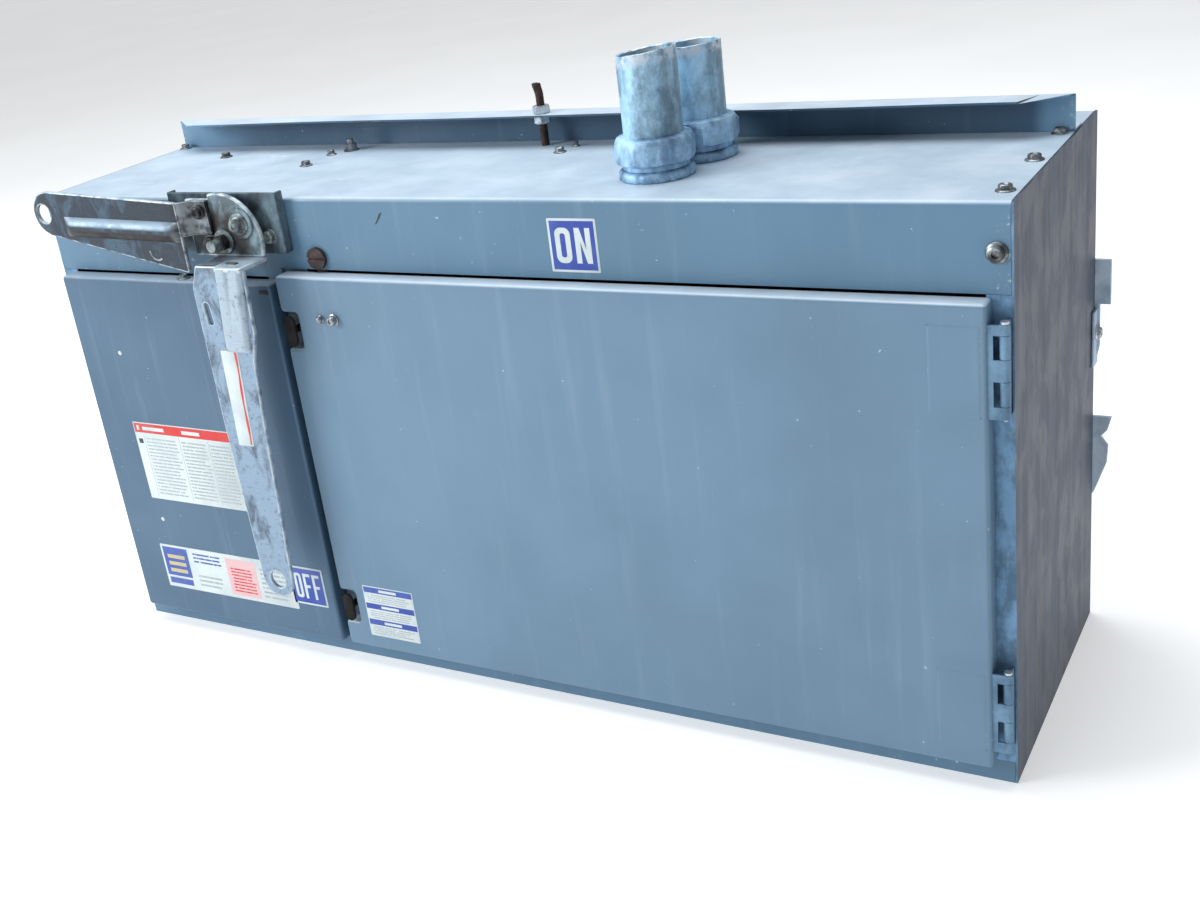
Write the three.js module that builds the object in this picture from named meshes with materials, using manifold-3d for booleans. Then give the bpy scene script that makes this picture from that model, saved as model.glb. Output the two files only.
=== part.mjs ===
// Fused disconnect switch, busway plug-in pattern, in millimetres with +Z up.
// X runs along the enclosure, -Y faces the person who works the handle, and the
// origin is the middle of the enclosure's underside.
import * as THREE from 'three';
import { mergeVertices } from 'three/addons/utils/BufferGeometryUtils.js';
import Module from 'manifold-3d';

const wasm = await Module();
wasm.setup();

// ---------------------------------------------------------------- enclosure
const LENGTH = 1080;
const DEPTH = 321;
const HEIGHT = 542;
const SHEET = 2;
const GAP = 0.3;
const FLANGE = 22; // inward folds of the end plates
const HOOD_FOLD = 4; // outer bend radius of the hood
const HOOD_REAR_LIP = 15;
const PAN_LIP = 22;
const PANEL_SEAM = 2.5; // slit between a panel's top and the hood band

// -------------------------------------------------------- cover and door
const PANEL_PROUD = 20; // how far both panels stand in front of the box
const PANEL_REST = 0.5; // slit between a panel's rim and the box
const COVER_LEFT = 16; // measured from the left end
const COVER_RIGHT = 325;
const COVER_BOTTOM = 24;
const COVER_TOP_DROP = 88; // below the hood's top face
const DOOR_LEFT = 335;
const DOOR_RIGHT_MARGIN = 17; // measured from the right end
const DOOR_BOTTOM = 25;
const DOOR_TOP_DROP = 78;
const POST_HALF = 27;
const POST_WEB_SHIFT = -5;

// ------------------------------------------------------------------ hinges
const KNUCKLE_RADIUS = 4.2;
const PIN_RADIUS = 2;
const PIN_PLAY = 0.1;
const LEAF = 1.8;
const LEAF_HEIGHT = 81;
const LEAF_DEPTH_BEHIND = 46; // leaf length inside the door skin
const HINGE_UPPER_DROP = 176; // leaf's lower end below the hood's top face
const HINGE_LOWER = 43; // leaf's lower end above the underside
const KNUCKLE_CUTS = [0, 0.14, 0.4, 0.64, 0.885, 1];
const KNUCKLE_PLAY = 0.4;
const HINGE_SLOT = 4.3; // open slot beside each frame knuckle
const FRAME_LEAF_REACH = 25;

// ----------------------------------------------------------------- latches
const LATCH_X = 11; // in from the door's left edge
const LATCH_LENGTH = 34;
const LATCH_WIDTH = 13;
const LATCH_THICK = 3;
const LATCH_SHANK = 4;
const LATCH_NOTCH_PLAY = 3;
const LATCH_UPPER_DROP = 137;
const LATCH_LOWER = 75;

// ------------------------------------------------------------------ handle
const PIVOT_X = 284; // measured from the left end
const PIVOT_DROP = 40; // below the hood's top face
const SHAFT_RADIUS = 9;
const SHAFT_PLAY = 0.1;
const STUD_RADIUS = 6;
const BRACKET_LEFT = 81; // left and right of the pivot
const BRACKET_RIGHT = 68;
const BRACKET_LOW = 16;
const BRACKET_HIGH = 48;
const BRACKET_STAND = 12;
const BRACKET_THICK = 3;
const SECTOR_BACK = 20; // in front of the hood band
const SECTOR_THICK = 5;
const SECTOR_RADIUS = 51;
const SECTOR_LEFT = 45;
const SECTOR_LOW = 16; // below the pivot
const SECTOR_SHOULDER = 44.5; // flat left part's top above the pivot
const SECTOR_ARC_END = (105 * Math.PI) / 180;
const DRIVE_BOLT = [26, 19]; // right of and above the pivot
const ARM_THICK = 5;
const OFF_ARM_FRONT = 60;
const OFF_ARM_LENGTH = 381; // pivot to hook hole
const ARM_TIP_RADIUS = 21;
const HOOK_HOLE_RADIUS = 10.5;
const RIB_PROUD = 5;
// The long arm's edges and channel: right of the pivot, then below the shelf.
const OFF_LEFT_EDGE = [
  [-16, 0],
  [-26, 24],
  [-26, 176],
];
const OFF_RIGHT_EDGE = [
  [31, 184],
  [37, 103],
  [46, 71],
  [49, 0],
];
const OFF_CHANNEL = [
  [12, 0],
  [9, 38],
  [4.5, 69],
  [3, 84],
  [9, 92],
  [34, 92],
  [44, 71],
  [48, 0],
];
const OFF_SLOT = [-15.5, -8, 40, 64]; // left, right, upper and lower end
const OFF_SHELF_THICK = 5;
const ON_ARM_FRONT = 41;
const ON_HOLE_X = 244;
const ON_HOLE_Z = 31;
const ON_TIP_RADIUS = 25;
const ON_TIP_SHIFT = 10; // round end's centre right of the hole
const ON_ELBOW = 44; // left of the pivot
const ON_ELBOW_LOW = 31;
const ON_ROOT_RIGHT = 12;
const ON_ROOT_LOW = 8;
const ON_JOGGLE = 15; // length along X of the bend to the root
// The short arm's rib: right of the hole, or left of the elbow, above the pivot.
const ON_RIB_START = [31, 6, 28];
const ON_RIB_END = [2, 2, 22];

// --------------------------------------------------------- switch mechanism
// Outline of a tapering strap between two centres, by its half widths.
function strap([ax, ay], [bx, by], fromHalf, toHalf) {
  const reach = Math.hypot(bx - ax, by - ay);
  const nx = (ay - by) / reach;
  const ny = (bx - ax) / reach;
  return polygon([
    [ax + nx * fromHalf, ay + ny * fromHalf],
    [bx + nx * toHalf, by + ny * toHalf],
    [bx - nx * toHalf, by - ny * toHalf],
    [ax - nx * fromHalf, ay - ny * fromHalf],
  ]);
}

const SWITCH_X = 165; // crossbar axis from the left end
const SWITCH_DEPTH = 190; // crossbar axis behind the hood band
const POLE_LOWEST = 110;
const POLE_PITCH = 115;
const POLES = ['a', 'b', 'c'];
const CROSSBAR_HALF = 22;
const CROSSBAR_BELOW = 50; // below the lowest pole
const CROSSBAR_UNDER_SLIDE = 46.5; // below the slide bar
const CRANK_RADIUS = 30;
const CRANK_PIN_RADIUS = 4;
const CRANK_HUB = 15;
const CRANK_HUB_HALF = 11; // half width of the crank's strap at its hub
const CRANK_EYE = 7;
const CRANK_THICK = 6;
const SLOT_PLAY = 1.4; // each side of a crank pin in its slot
const SLIDE_THICK = 4;
const SLIDE_TAIL = 106; // right of the upright lug
const SLIDE_TAIL_WIDTH = 22;
const SLIDE_LUG_HALF = 14;
const SLIDE_LUG_RISE = 16; // above the shaft crank's pin
const BLADE_REACH = 85;
const BLADE_WIDTH = 30;
const BLADE_THICK = 6;

// ------------------------------------------------------- current path
const JAW_LEAF = 3;
const JAW_GRIP = 23; // overlap of a leaf with the blade
const JAW_HALF = 17;
const BAR_THICK = 6;
const BAR_HALF = 15;
const STAB_REACH = 34; // behind the back wall
const STAB_GAP = 8;
const STAB_LEAF = 4;
const BOARD_BEHIND = 90; // board's front behind the crossbar axis
const BOARD_THICK = 12;
const BOARD_BEYOND = 60; // past the outermost poles
const BOARD_ARM = 14; // board's arm above the crossbar's block
const FUSE_BODY_RADIUS = 27;
const FUSE_BODY_LENGTH = 117;
const FUSE_BLADE_LENGTH = 32;
const FUSE_BLADE_WIDTH = 41;
const FUSE_BLADE_THICK = 6.4;
const FUSE_FROM_POST = 185; // fuse centre right of the post's edge
const LUG_REACH = 95;
const LUG_HALF = 18;
const LUG_BORE = 11;

// ---------------------------------------------------------------- top side
const BUSWAY_FLANGE_Y = 233; // behind the hood band
const BUSWAY_FLANGE_RISE = 34;
const BUSWAY_LIP = 33;
const BUSWAY_FOOT = 25;
const LIP_END = 30; // lip stops short of the right end
const LIP_MITRE = 14;
const LIP_LEFT_MITRE = 40;
const CONDUIT_RADIUS = 27.9;
const LOCKNUT_RADIUS = CONDUIT_RADIUS + 8.1;
const CONDUIT_REAR_Y = BUSWAY_FLANGE_Y - BUSWAY_LIP - CONDUIT_RADIUS - 15.3;
const CONDUIT_FRONT_Y = CONDUIT_REAR_Y - 2 * LOCKNUT_RADIUS - 0.6;
const CONDUITS = [
  { name: 'front', x: 735.5, y: CONDUIT_FRONT_Y, cut: 116, slope: 0.1 },
  { name: 'rear', x: 747, y: CONDUIT_REAR_Y, cut: 109, slope: 0.04 },
];
const CONDUIT_WALL = 2.2;
const CONDUIT_BELOW = 25;
const LOCKNUT_HEIGHT = 9;
const COUPLING_ACROSS = 2 * (CONDUIT_RADIUS + 7.1);
const COUPLING_SKIRT = 5;
const COUPLING_HEIGHT = 25;
const ROD_X = 540.5;
const ROD_Y = 213;
const ROD_RADIUS = 4.5;
const ROD_BELOW = 20;
const ROD_ABOVE = 66;
const ROD_NUT_ACROSS = 16;
const ROD_NUT_HEIGHT = 8;
const RELEASE_X = 382;
const RELEASE_DROP = 63;
const RELEASE_HEAD = 11.5;
const RELEASE_SHANK = 5;

// --------------------------------------------------------------- rear side
const PLATE_THICK = 4;
// Rear plates: past the end plate, then above the underside.
const HOOK_OUTLINE = [
  [-40, 112],
  [-20, 112],
  [2, 145],
  [14, 179],
  [15, 198],
  [8, 208],
  [14, 215],
  [18, 230],
  [-40, 230],
];
const BRACKET_OUTLINE = [
  [-34, 288],
  [1, 288],
  [5, 306],
  [5, 350],
  [15, 350],
  [15, 396],
  [-34, 396],
];
const TAB_THICK = 2.5; // bracket's tab on the end plate
const TAB_REACH = 14.5;
const TAB_SPAN = [288, 346];

// ------------------------------------------------------------ derived places
const LEFT = -LENGTH / 2;
const RIGHT = LENGTH / 2;
const FRONT = -DEPTH / 2;
const BACK = DEPTH / 2;
const coverTop = HEIGHT - COVER_TOP_DROP;
const doorTop = HEIGHT - DOOR_TOP_DROP;
const doorLeft = LEFT + DOOR_LEFT;
const doorRight = RIGHT - DOOR_RIGHT_MARGIN;
const coverLeft = LEFT + COVER_LEFT;
const coverRight = LEFT + COVER_RIGHT;
const panelFront = FRONT - PANEL_PROUD;
const panelRear = FRONT - PANEL_REST;
const postX = doorLeft;
const postLeft = postX - POST_HALF;
const postRight = postX + POST_HALF;
const postWebX = postX + POST_WEB_SHIFT;
const pivotX = LEFT + PIVOT_X;
const pivotZ = HEIGHT - PIVOT_DROP;
const driveCentre = [pivotX + DRIVE_BOLT[0], pivotZ + DRIVE_BOLT[1]];
const sectorFront = FRONT - SECTOR_BACK - SECTOR_THICK;
const switchX = LEFT + SWITCH_X;
const switchY = FRONT + SWITCH_DEPTH;
const poleZ = POLES.map((_, i) => POLE_LOWEST + i * POLE_PITCH);
const topPole = poleZ[poleZ.length - 1];
const boardFront = switchY + BOARD_BEHIND;
const crankOffset = CRANK_RADIUS * Math.SQRT1_2;
const crankY = switchY - CRANK_RADIUS - 18;
const slidePlateY = crankY + CRANK_THICK + 4;
const slideZ = pivotZ - CRANK_RADIUS - CRANK_PIN_RADIUS - SLIDE_THICK - 1.5;
const crossbarTop = slideZ - CROSSBAR_UNDER_SLIDE;
const strapY = switchY + JAW_HALF;
const fuseX = postRight + FUSE_FROM_POST;
const fuseHalf = FUSE_BODY_LENGTH / 2 + FUSE_BLADE_LENGTH;
const lugX = fuseX + fuseHalf + LUG_REACH;
const hingeX = RIGHT - KNUCKLE_RADIUS;
const leafFront = panelFront + SHEET + GAP;
const hingeY = leafFront + KNUCKLE_RADIUS;
const hoodLeft = LEFT + SHEET + GAP;
const hoodRight = RIGHT - SHEET - GAP;
const flangeTop = HEIGHT + BUSWAY_FLANGE_RISE;
const rearPlate = [BACK + GAP, BACK + GAP + PLATE_THICK];

// ---------------------------------------------------------------- materials
function finish(colour, roughness, metalness) {
  return { color: colour, roughness, metalness };
}

const PAINT = finish(0x86a3b8, 0.42, 0.1);
const GALVANISED = finish(0x8d97a1, 0.5, 0.8);
const BRIGHT_ZINC = finish(0xb9bcb4, 0.4, 0.85);
const WORN_STEEL = finish(0x9aa4ab, 0.45, 0.85);
const DARK_STEEL = finish(0x3a2c26, 0.7, 0.5);
const COPPER = finish(0xb87350, 0.35, 0.9);
const BRASS = finish(0x8a6b3e, 0.5, 0.8);
const BOARD = finish(0x7c3a2c, 0.6, 0);
const FUSE_TUBE = finish(0xc9b48a, 0.6, 0);

// ------------------------------------------------------------ shape helpers
function toSolid(geometry) {
  geometry.deleteAttribute('normal');
  geometry.deleteAttribute('uv');
  const merged = mergeVertices(geometry, 1e-4);
  return new wasm.Manifold(
    new wasm.Mesh({
      numProp: 3,
      vertProperties: new Float32Array(merged.attributes.position.array),
      triVerts: new Uint32Array(merged.index.array),
    }),
  );
}

function toGeometry(solid) {
  const mesh = solid.getMesh();
  const geometry = new THREE.BufferGeometry();
  geometry.setAttribute('position', new THREE.BufferAttribute(mesh.vertProperties, 3));
  geometry.setIndex(new THREE.BufferAttribute(mesh.triVerts, 1));
  geometry.computeVertexNormals();
  return geometry;
}

function join(first, ...others) {
  return others.reduce((sum, other) => sum.add(other), first);
}

function cut(body, ...tools) {
  return tools.reduce((rest, tool) => rest.subtract(tool), body);
}

// A block between two values on each axis. Its corners are written straight
// from those values, so blocks that share a plane meet without rounding.
function block(...spans) {
  const geometry = new THREE.BoxGeometry(1, 1, 1);
  const corners = geometry.attributes.position;
  for (let i = 0; i < corners.count; i += 1) {
    spans.forEach(([low, high], axis) => {
      corners.setComponent(i, axis, corners.getComponent(i, axis) < 0 ? low : high);
    });
  }
  return toSolid(geometry);
}

// Where a prism's drawing plane and its length go for each axis.
const PRISM_AXES = {
  x: [1, 2, 0],
  y: [0, 2, 1],
  z: [0, 1, 2],
};

// A shape drawn in (y, z), (x, z) or (x, y) and carried along the axis named.
function prism(axis, shape, [from, to], curveSegments = 10) {
  const drawn = new THREE.ExtrudeGeometry(shape, { depth: 1, bevelEnabled: false, curveSegments });
  const source = drawn.attributes.position;
  const target = source.clone();
  const [across, up, along] = PRISM_AXES[axis];
  // Drawn in (x, z), the solid runs towards -Y so that its faces still point out.
  const flip = axis === 'y';
  for (let i = 0; i < source.count; i += 1) {
    const far = source.getZ(i) > 0.5;
    target.setComponent(i, across, source.getX(i));
    target.setComponent(i, up, source.getY(i));
    target.setComponent(i, along, far !== flip ? to : from);
  }
  drawn.setAttribute('position', target);
  return toSolid(drawn);
}

// A round or many-sided bar along an axis through (u, v) of the other two axes.
function bar(axis, [u, v], radius, span, sides = 24, turn = 0) {
  const shape = new THREE.Shape();
  for (let i = 0; i < sides; i += 1) {
    const angle = turn + (2 * Math.PI * i) / sides;
    const point = [u + radius * Math.cos(angle), v + radius * Math.sin(angle)];
    if (i === 0) shape.moveTo(...point);
    else shape.lineTo(...point);
  }
  shape.closePath();
  return prism(axis, shape, span);
}

// A hexagon bar with its flats the given distance apart.
function hexBar(axis, centre, across, span) {
  return bar(axis, centre, across / Math.sqrt(3), span, 6);
}

function polygon(points) {
  const shape = new THREE.Shape();
  points.forEach((point, i) => (i === 0 ? shape.moveTo(...point) : shape.lineTo(...point)));
  shape.closePath();
  return shape;
}

const device = new THREE.Group();

function place(name, solid, look) {
  const mesh = new THREE.Mesh(toGeometry(solid), new THREE.MeshStandardMaterial(look));
  mesh.name = name;
  device.add(mesh);
}

// ------------------------------------------------------- the box's own sheets
function hoodProfile() {
  const low = coverTop + PANEL_SEAM;
  const inner = HOOD_FOLD - SHEET;
  const shape = new THREE.Shape();
  shape.moveTo(FRONT, low);
  shape.lineTo(FRONT + SHEET, low);
  shape.lineTo(FRONT + SHEET, HEIGHT - HOOD_FOLD);
  shape.absarc(FRONT + HOOD_FOLD, HEIGHT - HOOD_FOLD, inner, Math.PI, Math.PI / 2, true);
  shape.lineTo(BACK - HOOD_FOLD, HEIGHT - SHEET);
  shape.absarc(BACK - HOOD_FOLD, HEIGHT - HOOD_FOLD, inner, Math.PI / 2, 0, true);
  shape.lineTo(BACK - SHEET, HEIGHT - HOOD_REAR_LIP);
  shape.lineTo(BACK, HEIGHT - HOOD_REAR_LIP);
  shape.lineTo(BACK, HEIGHT - HOOD_FOLD);
  shape.absarc(BACK - HOOD_FOLD, HEIGHT - HOOD_FOLD, HOOD_FOLD, 0, Math.PI / 2, false);
  shape.lineTo(FRONT + HOOD_FOLD, HEIGHT);
  shape.absarc(FRONT + HOOD_FOLD, HEIGHT - HOOD_FOLD, HOOD_FOLD, Math.PI / 2, Math.PI, false);
  shape.closePath();
  return shape;
}

function topHood() {
  const rise = doorTop + PANEL_SEAM;
  const step = (coverRight + doorLeft) / 2;
  const front = [FRONT - 1, FRONT + SHEET + 1];
  const through = [HEIGHT - SHEET - 1, HEIGHT + 1];
  const bores = CONDUITS.map((c) =>
    bar('z', [LEFT + c.x, FRONT + c.y], CONDUIT_RADIUS + GAP, through, 32),
  );
  return cut(
    prism('x', hoodProfile(), [hoodLeft, hoodRight], 4),
    block([step, hoodRight + 1], front, [coverTop, rise]),
    bar('y', [pivotX, pivotZ], SHAFT_RADIUS + SHAFT_PLAY, front),
    bar('y', [LEFT + RELEASE_X, HEIGHT - RELEASE_DROP], RELEASE_SHANK + SHAFT_PLAY, front),
    bar('z', [LEFT + ROD_X, FRONT + ROD_Y], ROD_RADIUS + GAP, through, 16),
    ...bores,
  );
}

// A flat plate with a fold inward on each of its four edges. Each fold starts
// inside the plate's thickness and has its own width.
function endPlate(side) {
  const outer = side * (LENGTH / 2);
  const root = outer - (side * SHEET) / 2;
  const ordered = (a, b) => [Math.min(a, b), Math.max(a, b)];
  const fold = (reach) => ordered(root, outer - side * reach);
  const top = HEIGHT - SHEET - GAP;
  const rear = BACK - SHEET - GAP;
  const flat = SHEET + GAP;
  const bend = HOOD_FOLD + GAP;
  const bandLow = side < 0 ? coverTop : doorTop;
  const seam = bandLow + PANEL_SEAM - GAP;
  return join(
    block(ordered(outer, outer - side * SHEET), [FRONT, BACK], [0, HEIGHT - GAP]),
    block(fold(FLANGE), [FRONT, FRONT + SHEET], [PAN_LIP + GAP, seam]),
    block(fold(FLANGE - 1), [FRONT + bend, BACK - bend - 1], [top - SHEET, top]),
    block(fold(FLANGE - 2), [rear - SHEET, rear], [flat + SHEET + 1, HEIGHT - bend - SHEET]),
    block(fold(FLANGE - 3), [FRONT + bend, rear - SHEET - 1], [flat, flat + SHEET]),
  );
}

// Slit in the right end plate's front fold for each hinge's frame leaf.
function hingeSlits() {
  const inner = RIGHT - SHEET;
  return [HINGE_LOWER, HEIGHT - HINGE_UPPER_DROP].map((low) =>
    block(
      [inner - GAP - LEAF - GAP, inner + GAP],
      [FRONT - 1, FRONT + SHEET + 1],
      [low - GAP, low + LEAF_HEIGHT + GAP],
    ),
  );
}

function bottomPan() {
  const inset = FLANGE + 2;
  const rear = BACK - SHEET - GAP;
  const ends = [LEFT + SHEET + GAP, RIGHT - SHEET - GAP];
  return join(
    block(ends, [FRONT, BACK], [0, SHEET]),
    block(ends, [FRONT, FRONT + SHEET], [0, PAN_LIP]),
    block([LEFT + inset, RIGHT - inset], [rear - SHEET, rear], [0, PAN_LIP]),
  );
}

function backWall() {
  const windows = poleZ.map((z) =>
    block(
      [switchX - BLADE_REACH - 24, switchX - BLADE_REACH + 12],
      [BACK - SHEET - 1, BACK + 1],
      [z - BAR_HALF - 6, z + BAR_HALF + 6],
    ),
  );
  return cut(
    block([hoodLeft, hoodRight], [BACK - SHEET, BACK], [SHEET + GAP, HEIGHT - HOOD_REAR_LIP - GAP]),
    ...windows,
  );
}

function buswayFlange() {
  const y = FRONT + BUSWAY_FLANGE_Y;
  const foot = HEIGHT + GAP;
  const shape = new THREE.Shape();
  shape.moveTo(y, foot);
  shape.lineTo(y + BUSWAY_FOOT, foot);
  shape.lineTo(y + BUSWAY_FOOT, foot + SHEET);
  shape.lineTo(y + SHEET, foot + SHEET);
  shape.lineTo(y + SHEET, flangeTop - HOOD_FOLD);
  shape.absarc(y + SHEET - HOOD_FOLD, flangeTop - HOOD_FOLD, HOOD_FOLD, 0, Math.PI / 2, false);
  shape.lineTo(y - BUSWAY_LIP, flangeTop);
  shape.lineTo(y - BUSWAY_LIP, flangeTop - SHEET);
  shape.lineTo(y, flangeTop - SHEET);
  shape.closePath();
  const lipFront = y - BUSWAY_LIP - 1;
  const end = RIGHT - LIP_END;
  const rightCorner = polygon([
    [end, y],
    [end - LIP_MITRE, lipFront],
    [RIGHT + 1, lipFront],
    [RIGHT + 1, y],
  ]);
  const leftCorner = polygon([
    [LEFT + SHEET, y],
    [LEFT + LIP_LEFT_MITRE, lipFront],
    [LEFT - 1, lipFront],
    [LEFT - 1, y],
  ]);
  const lipSpan = [flangeTop - SHEET - 1, flangeTop + 1];
  return cut(
    prism('x', shape, [LEFT + SHEET, RIGHT - SHEET], 4),
    prism('z', rightCorner, lipSpan),
    prism('z', leftCorner, lipSpan),
    bar('z', [LEFT + ROD_X, FRONT + ROD_Y], ROD_RADIUS + GAP, [flangeTop - 4, flangeTop + 1], 16),
  );
}

function centrePost() {
  const low = SHEET + GAP;
  const high = HEIGHT - HOOD_FOLD - GAP;
  const front = FRONT + SHEET + GAP;
  const rear = BACK - 2 * (SHEET + GAP);
  const web = [postWebX - SHEET / 2, postWebX + SHEET / 2];
  const across = [web[0] - 1, web[1] + 1];
  const windows = poleZ.map((z) =>
    block(across, [strapY - BAR_THICK - 4, strapY + 4], [z - BAR_HALF - 4, z + BAR_HALF + 4]),
  );
  const tailWindow = block(
    across,
    [slidePlateY - 1, slidePlateY + SLIDE_TAIL_WIDTH + 1],
    [slideZ - 1, slideZ + SLIDE_THICK + 1],
  );
  const bushings = latchHeights().map((z) =>
    bar('y', [doorLeft + LATCH_X, z], LATCH_SHANK + GAP, [front - 1, front + SHEET + 1], 16),
  );
  return cut(
    join(
      block([postLeft, postRight], [front, front + SHEET], [low, high]),
      block(web, [front, rear], [low, high]),
    ),
    ...windows,
    tailWindow,
    ...bushings,
  );
}

// ------------------------------------------------------------ cover and door
function pan([x0, x1], [z0, z1]) {
  return cut(
    block([x0, x1], [panelFront, panelRear], [z0, z1]),
    block([x0 + SHEET, x1 - SHEET], [panelFront + SHEET, panelRear + 1], [z0 + SHEET, z1 - SHEET]),
  );
}

function latchHeights() {
  return [HEIGHT - LATCH_UPPER_DROP, LATCH_LOWER];
}

function fuseDoor() {
  const half = LATCH_LENGTH / 2 + LATCH_NOTCH_PLAY;
  const notches = latchHeights().map((z) =>
    block(
      [doorLeft - 1, doorLeft + LATCH_X + LATCH_WIDTH / 2 + LATCH_NOTCH_PLAY],
      [panelFront - 1, panelRear + 1],
      [z - half, z + half],
    ),
  );
  const slots = [HINGE_LOWER, HEIGHT - HINGE_UPPER_DROP].map((low) =>
    block(
      [doorRight - SHEET - 1, doorRight + 1],
      [leafFront - GAP, leafFront + LEAF + GAP],
      [low - GAP, low + LEAF_HEIGHT + GAP],
    ),
  );
  return cut(pan([doorLeft, doorRight], [DOOR_BOTTOM, doorTop]), ...notches, ...slots);
}

// A tongue in front of the door's notch, on a shank through the centre post.
function doorLatch(z) {
  const x = doorLeft + LATCH_X;
  const back = panelFront - PANEL_REST;
  const half = LATCH_LENGTH / 2;
  const shape = new THREE.Shape();
  const side = LATCH_WIDTH / 2;
  shape.moveTo(x - side, z - half + side);
  shape.absarc(x, z - half + side, side, Math.PI, 2 * Math.PI, false);
  shape.lineTo(x + side, z + half - side);
  shape.absarc(x, z + half - side, side, 0, Math.PI, false);
  shape.closePath();
  const collar = FRONT + 2 * (SHEET + GAP);
  return join(
    prism('y', shape, [back - LATCH_THICK, back], 6),
    bar('y', [x, z], LATCH_SHANK, [back - 1, collar + 7], 16),
    bar('y', [x, z], LATCH_SHANK + 3, [collar + 0.1, collar + 4], 16),
  );
}

// ------------------------------------------------------------------- hinges
function knuckleSpans(low, first) {
  const spans = [];
  for (let i = first; i < KNUCKLE_CUTS.length - 1; i += 2) {
    spans.push([low + KNUCKLE_CUTS[i] * LEAF_HEIGHT, low + KNUCKLE_CUTS[i + 1] * LEAF_HEIGHT]);
  }
  return spans;
}

function hingeBore(low) {
  const span = [low - 1, low + LEAF_HEIGHT + 1];
  return bar('z', [hingeX, hingeY], PIN_RADIUS + PIN_PLAY, span, 16);
}

function doorLeaf(low) {
  const plate = block(
    [doorRight - LEAF_DEPTH_BEHIND, hingeX],
    [leafFront, leafFront + LEAF],
    [low, low + LEAF_HEIGHT],
  );
  const knuckles = bar('z', [hingeX, hingeY], KNUCKLE_RADIUS, [low, low + LEAF_HEIGHT], 20);
  const openings = knuckleSpans(low, 1).map(([from, to]) =>
    block(
      [hingeX - KNUCKLE_RADIUS - HINGE_SLOT, RIGHT + 2],
      [leafFront - 1, hingeY + KNUCKLE_RADIUS + 1],
      [from - KNUCKLE_PLAY, to + KNUCKLE_PLAY],
    ),
  );
  return cut(join(plate, knuckles), ...openings, hingeBore(low));
}

function frameLeaf(low) {
  const inner = RIGHT - SHEET - GAP;
  const clear = hingeY + KNUCKLE_RADIUS + KNUCKLE_PLAY;
  const plate = block(
    [inner - LEAF, inner],
    [clear, FRONT + FRAME_LEAF_REACH],
    [low, low + LEAF_HEIGHT],
  );
  const knuckles = knuckleSpans(low, 1).map(([from, to]) =>
    join(
      bar('z', [hingeX, hingeY], KNUCKLE_RADIUS, [from, to], 20),
      block([inner - LEAF, inner], [hingeY, clear + 1], [from, to]),
    ),
  );
  return cut(join(plate, ...knuckles), hingeBore(low));
}

function hingePin(low) {
  const top = low + LEAF_HEIGHT;
  return join(
    bar('z', [hingeX, hingeY], PIN_RADIUS, [low - 1.5, top + 1], 16),
    bar('z', [hingeX, hingeY], KNUCKLE_RADIUS - 0.6, [top + GAP, top + 2.4], 16),
  );
}

// ------------------------------------------------------------------- handle
function handleBracket() {
  const stand = FRONT - BRACKET_STAND;
  const x0 = pivotX - BRACKET_LEFT;
  const x1 = pivotX + BRACKET_RIGHT;
  const z = [pivotZ - BRACKET_LOW, pivotZ + BRACKET_HIGH];
  const flangeSpan = [stand, FRONT - GAP];
  return cut(
    join(
      block([x0, x1], [stand, stand + BRACKET_THICK], z),
      block([x1 - BRACKET_THICK, x1], flangeSpan, z),
      block([x0, x0 + BRACKET_THICK], flangeSpan, z),
    ),
    bar('y', [pivotX, pivotZ], SHAFT_RADIUS + SHAFT_PLAY, [stand - 1, stand + BRACKET_THICK + 1]),
  );
}

function sectorPlate() {
  const left = pivotX - SECTOR_LEFT;
  const shoulder = pivotZ + SECTOR_SHOULDER;
  const shape = new THREE.Shape();
  shape.moveTo(left, pivotZ - SECTOR_LOW);
  shape.lineTo(pivotX + SECTOR_RADIUS - 3, pivotZ - SECTOR_LOW);
  shape.lineTo(pivotX + SECTOR_RADIUS, pivotZ);
  shape.absarc(pivotX, pivotZ, SECTOR_RADIUS, 0, SECTOR_ARC_END, false);
  shape.lineTo(pivotX + SECTOR_RADIUS * Math.cos(SECTOR_ARC_END), shoulder);
  shape.lineTo(left, shoulder);
  shape.closePath();
  const span = [sectorFront, sectorFront + SECTOR_THICK];
  const reach = [sectorFront - 1, sectorFront + SECTOR_THICK + 1];
  return cut(
    prism('y', shape, span, 12),
    bar('y', [pivotX, pivotZ], STUD_RADIUS + GAP, reach, 16),
    bar('y', driveCentre, STUD_RADIUS + GAP, reach, 16),
  );
}

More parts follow.
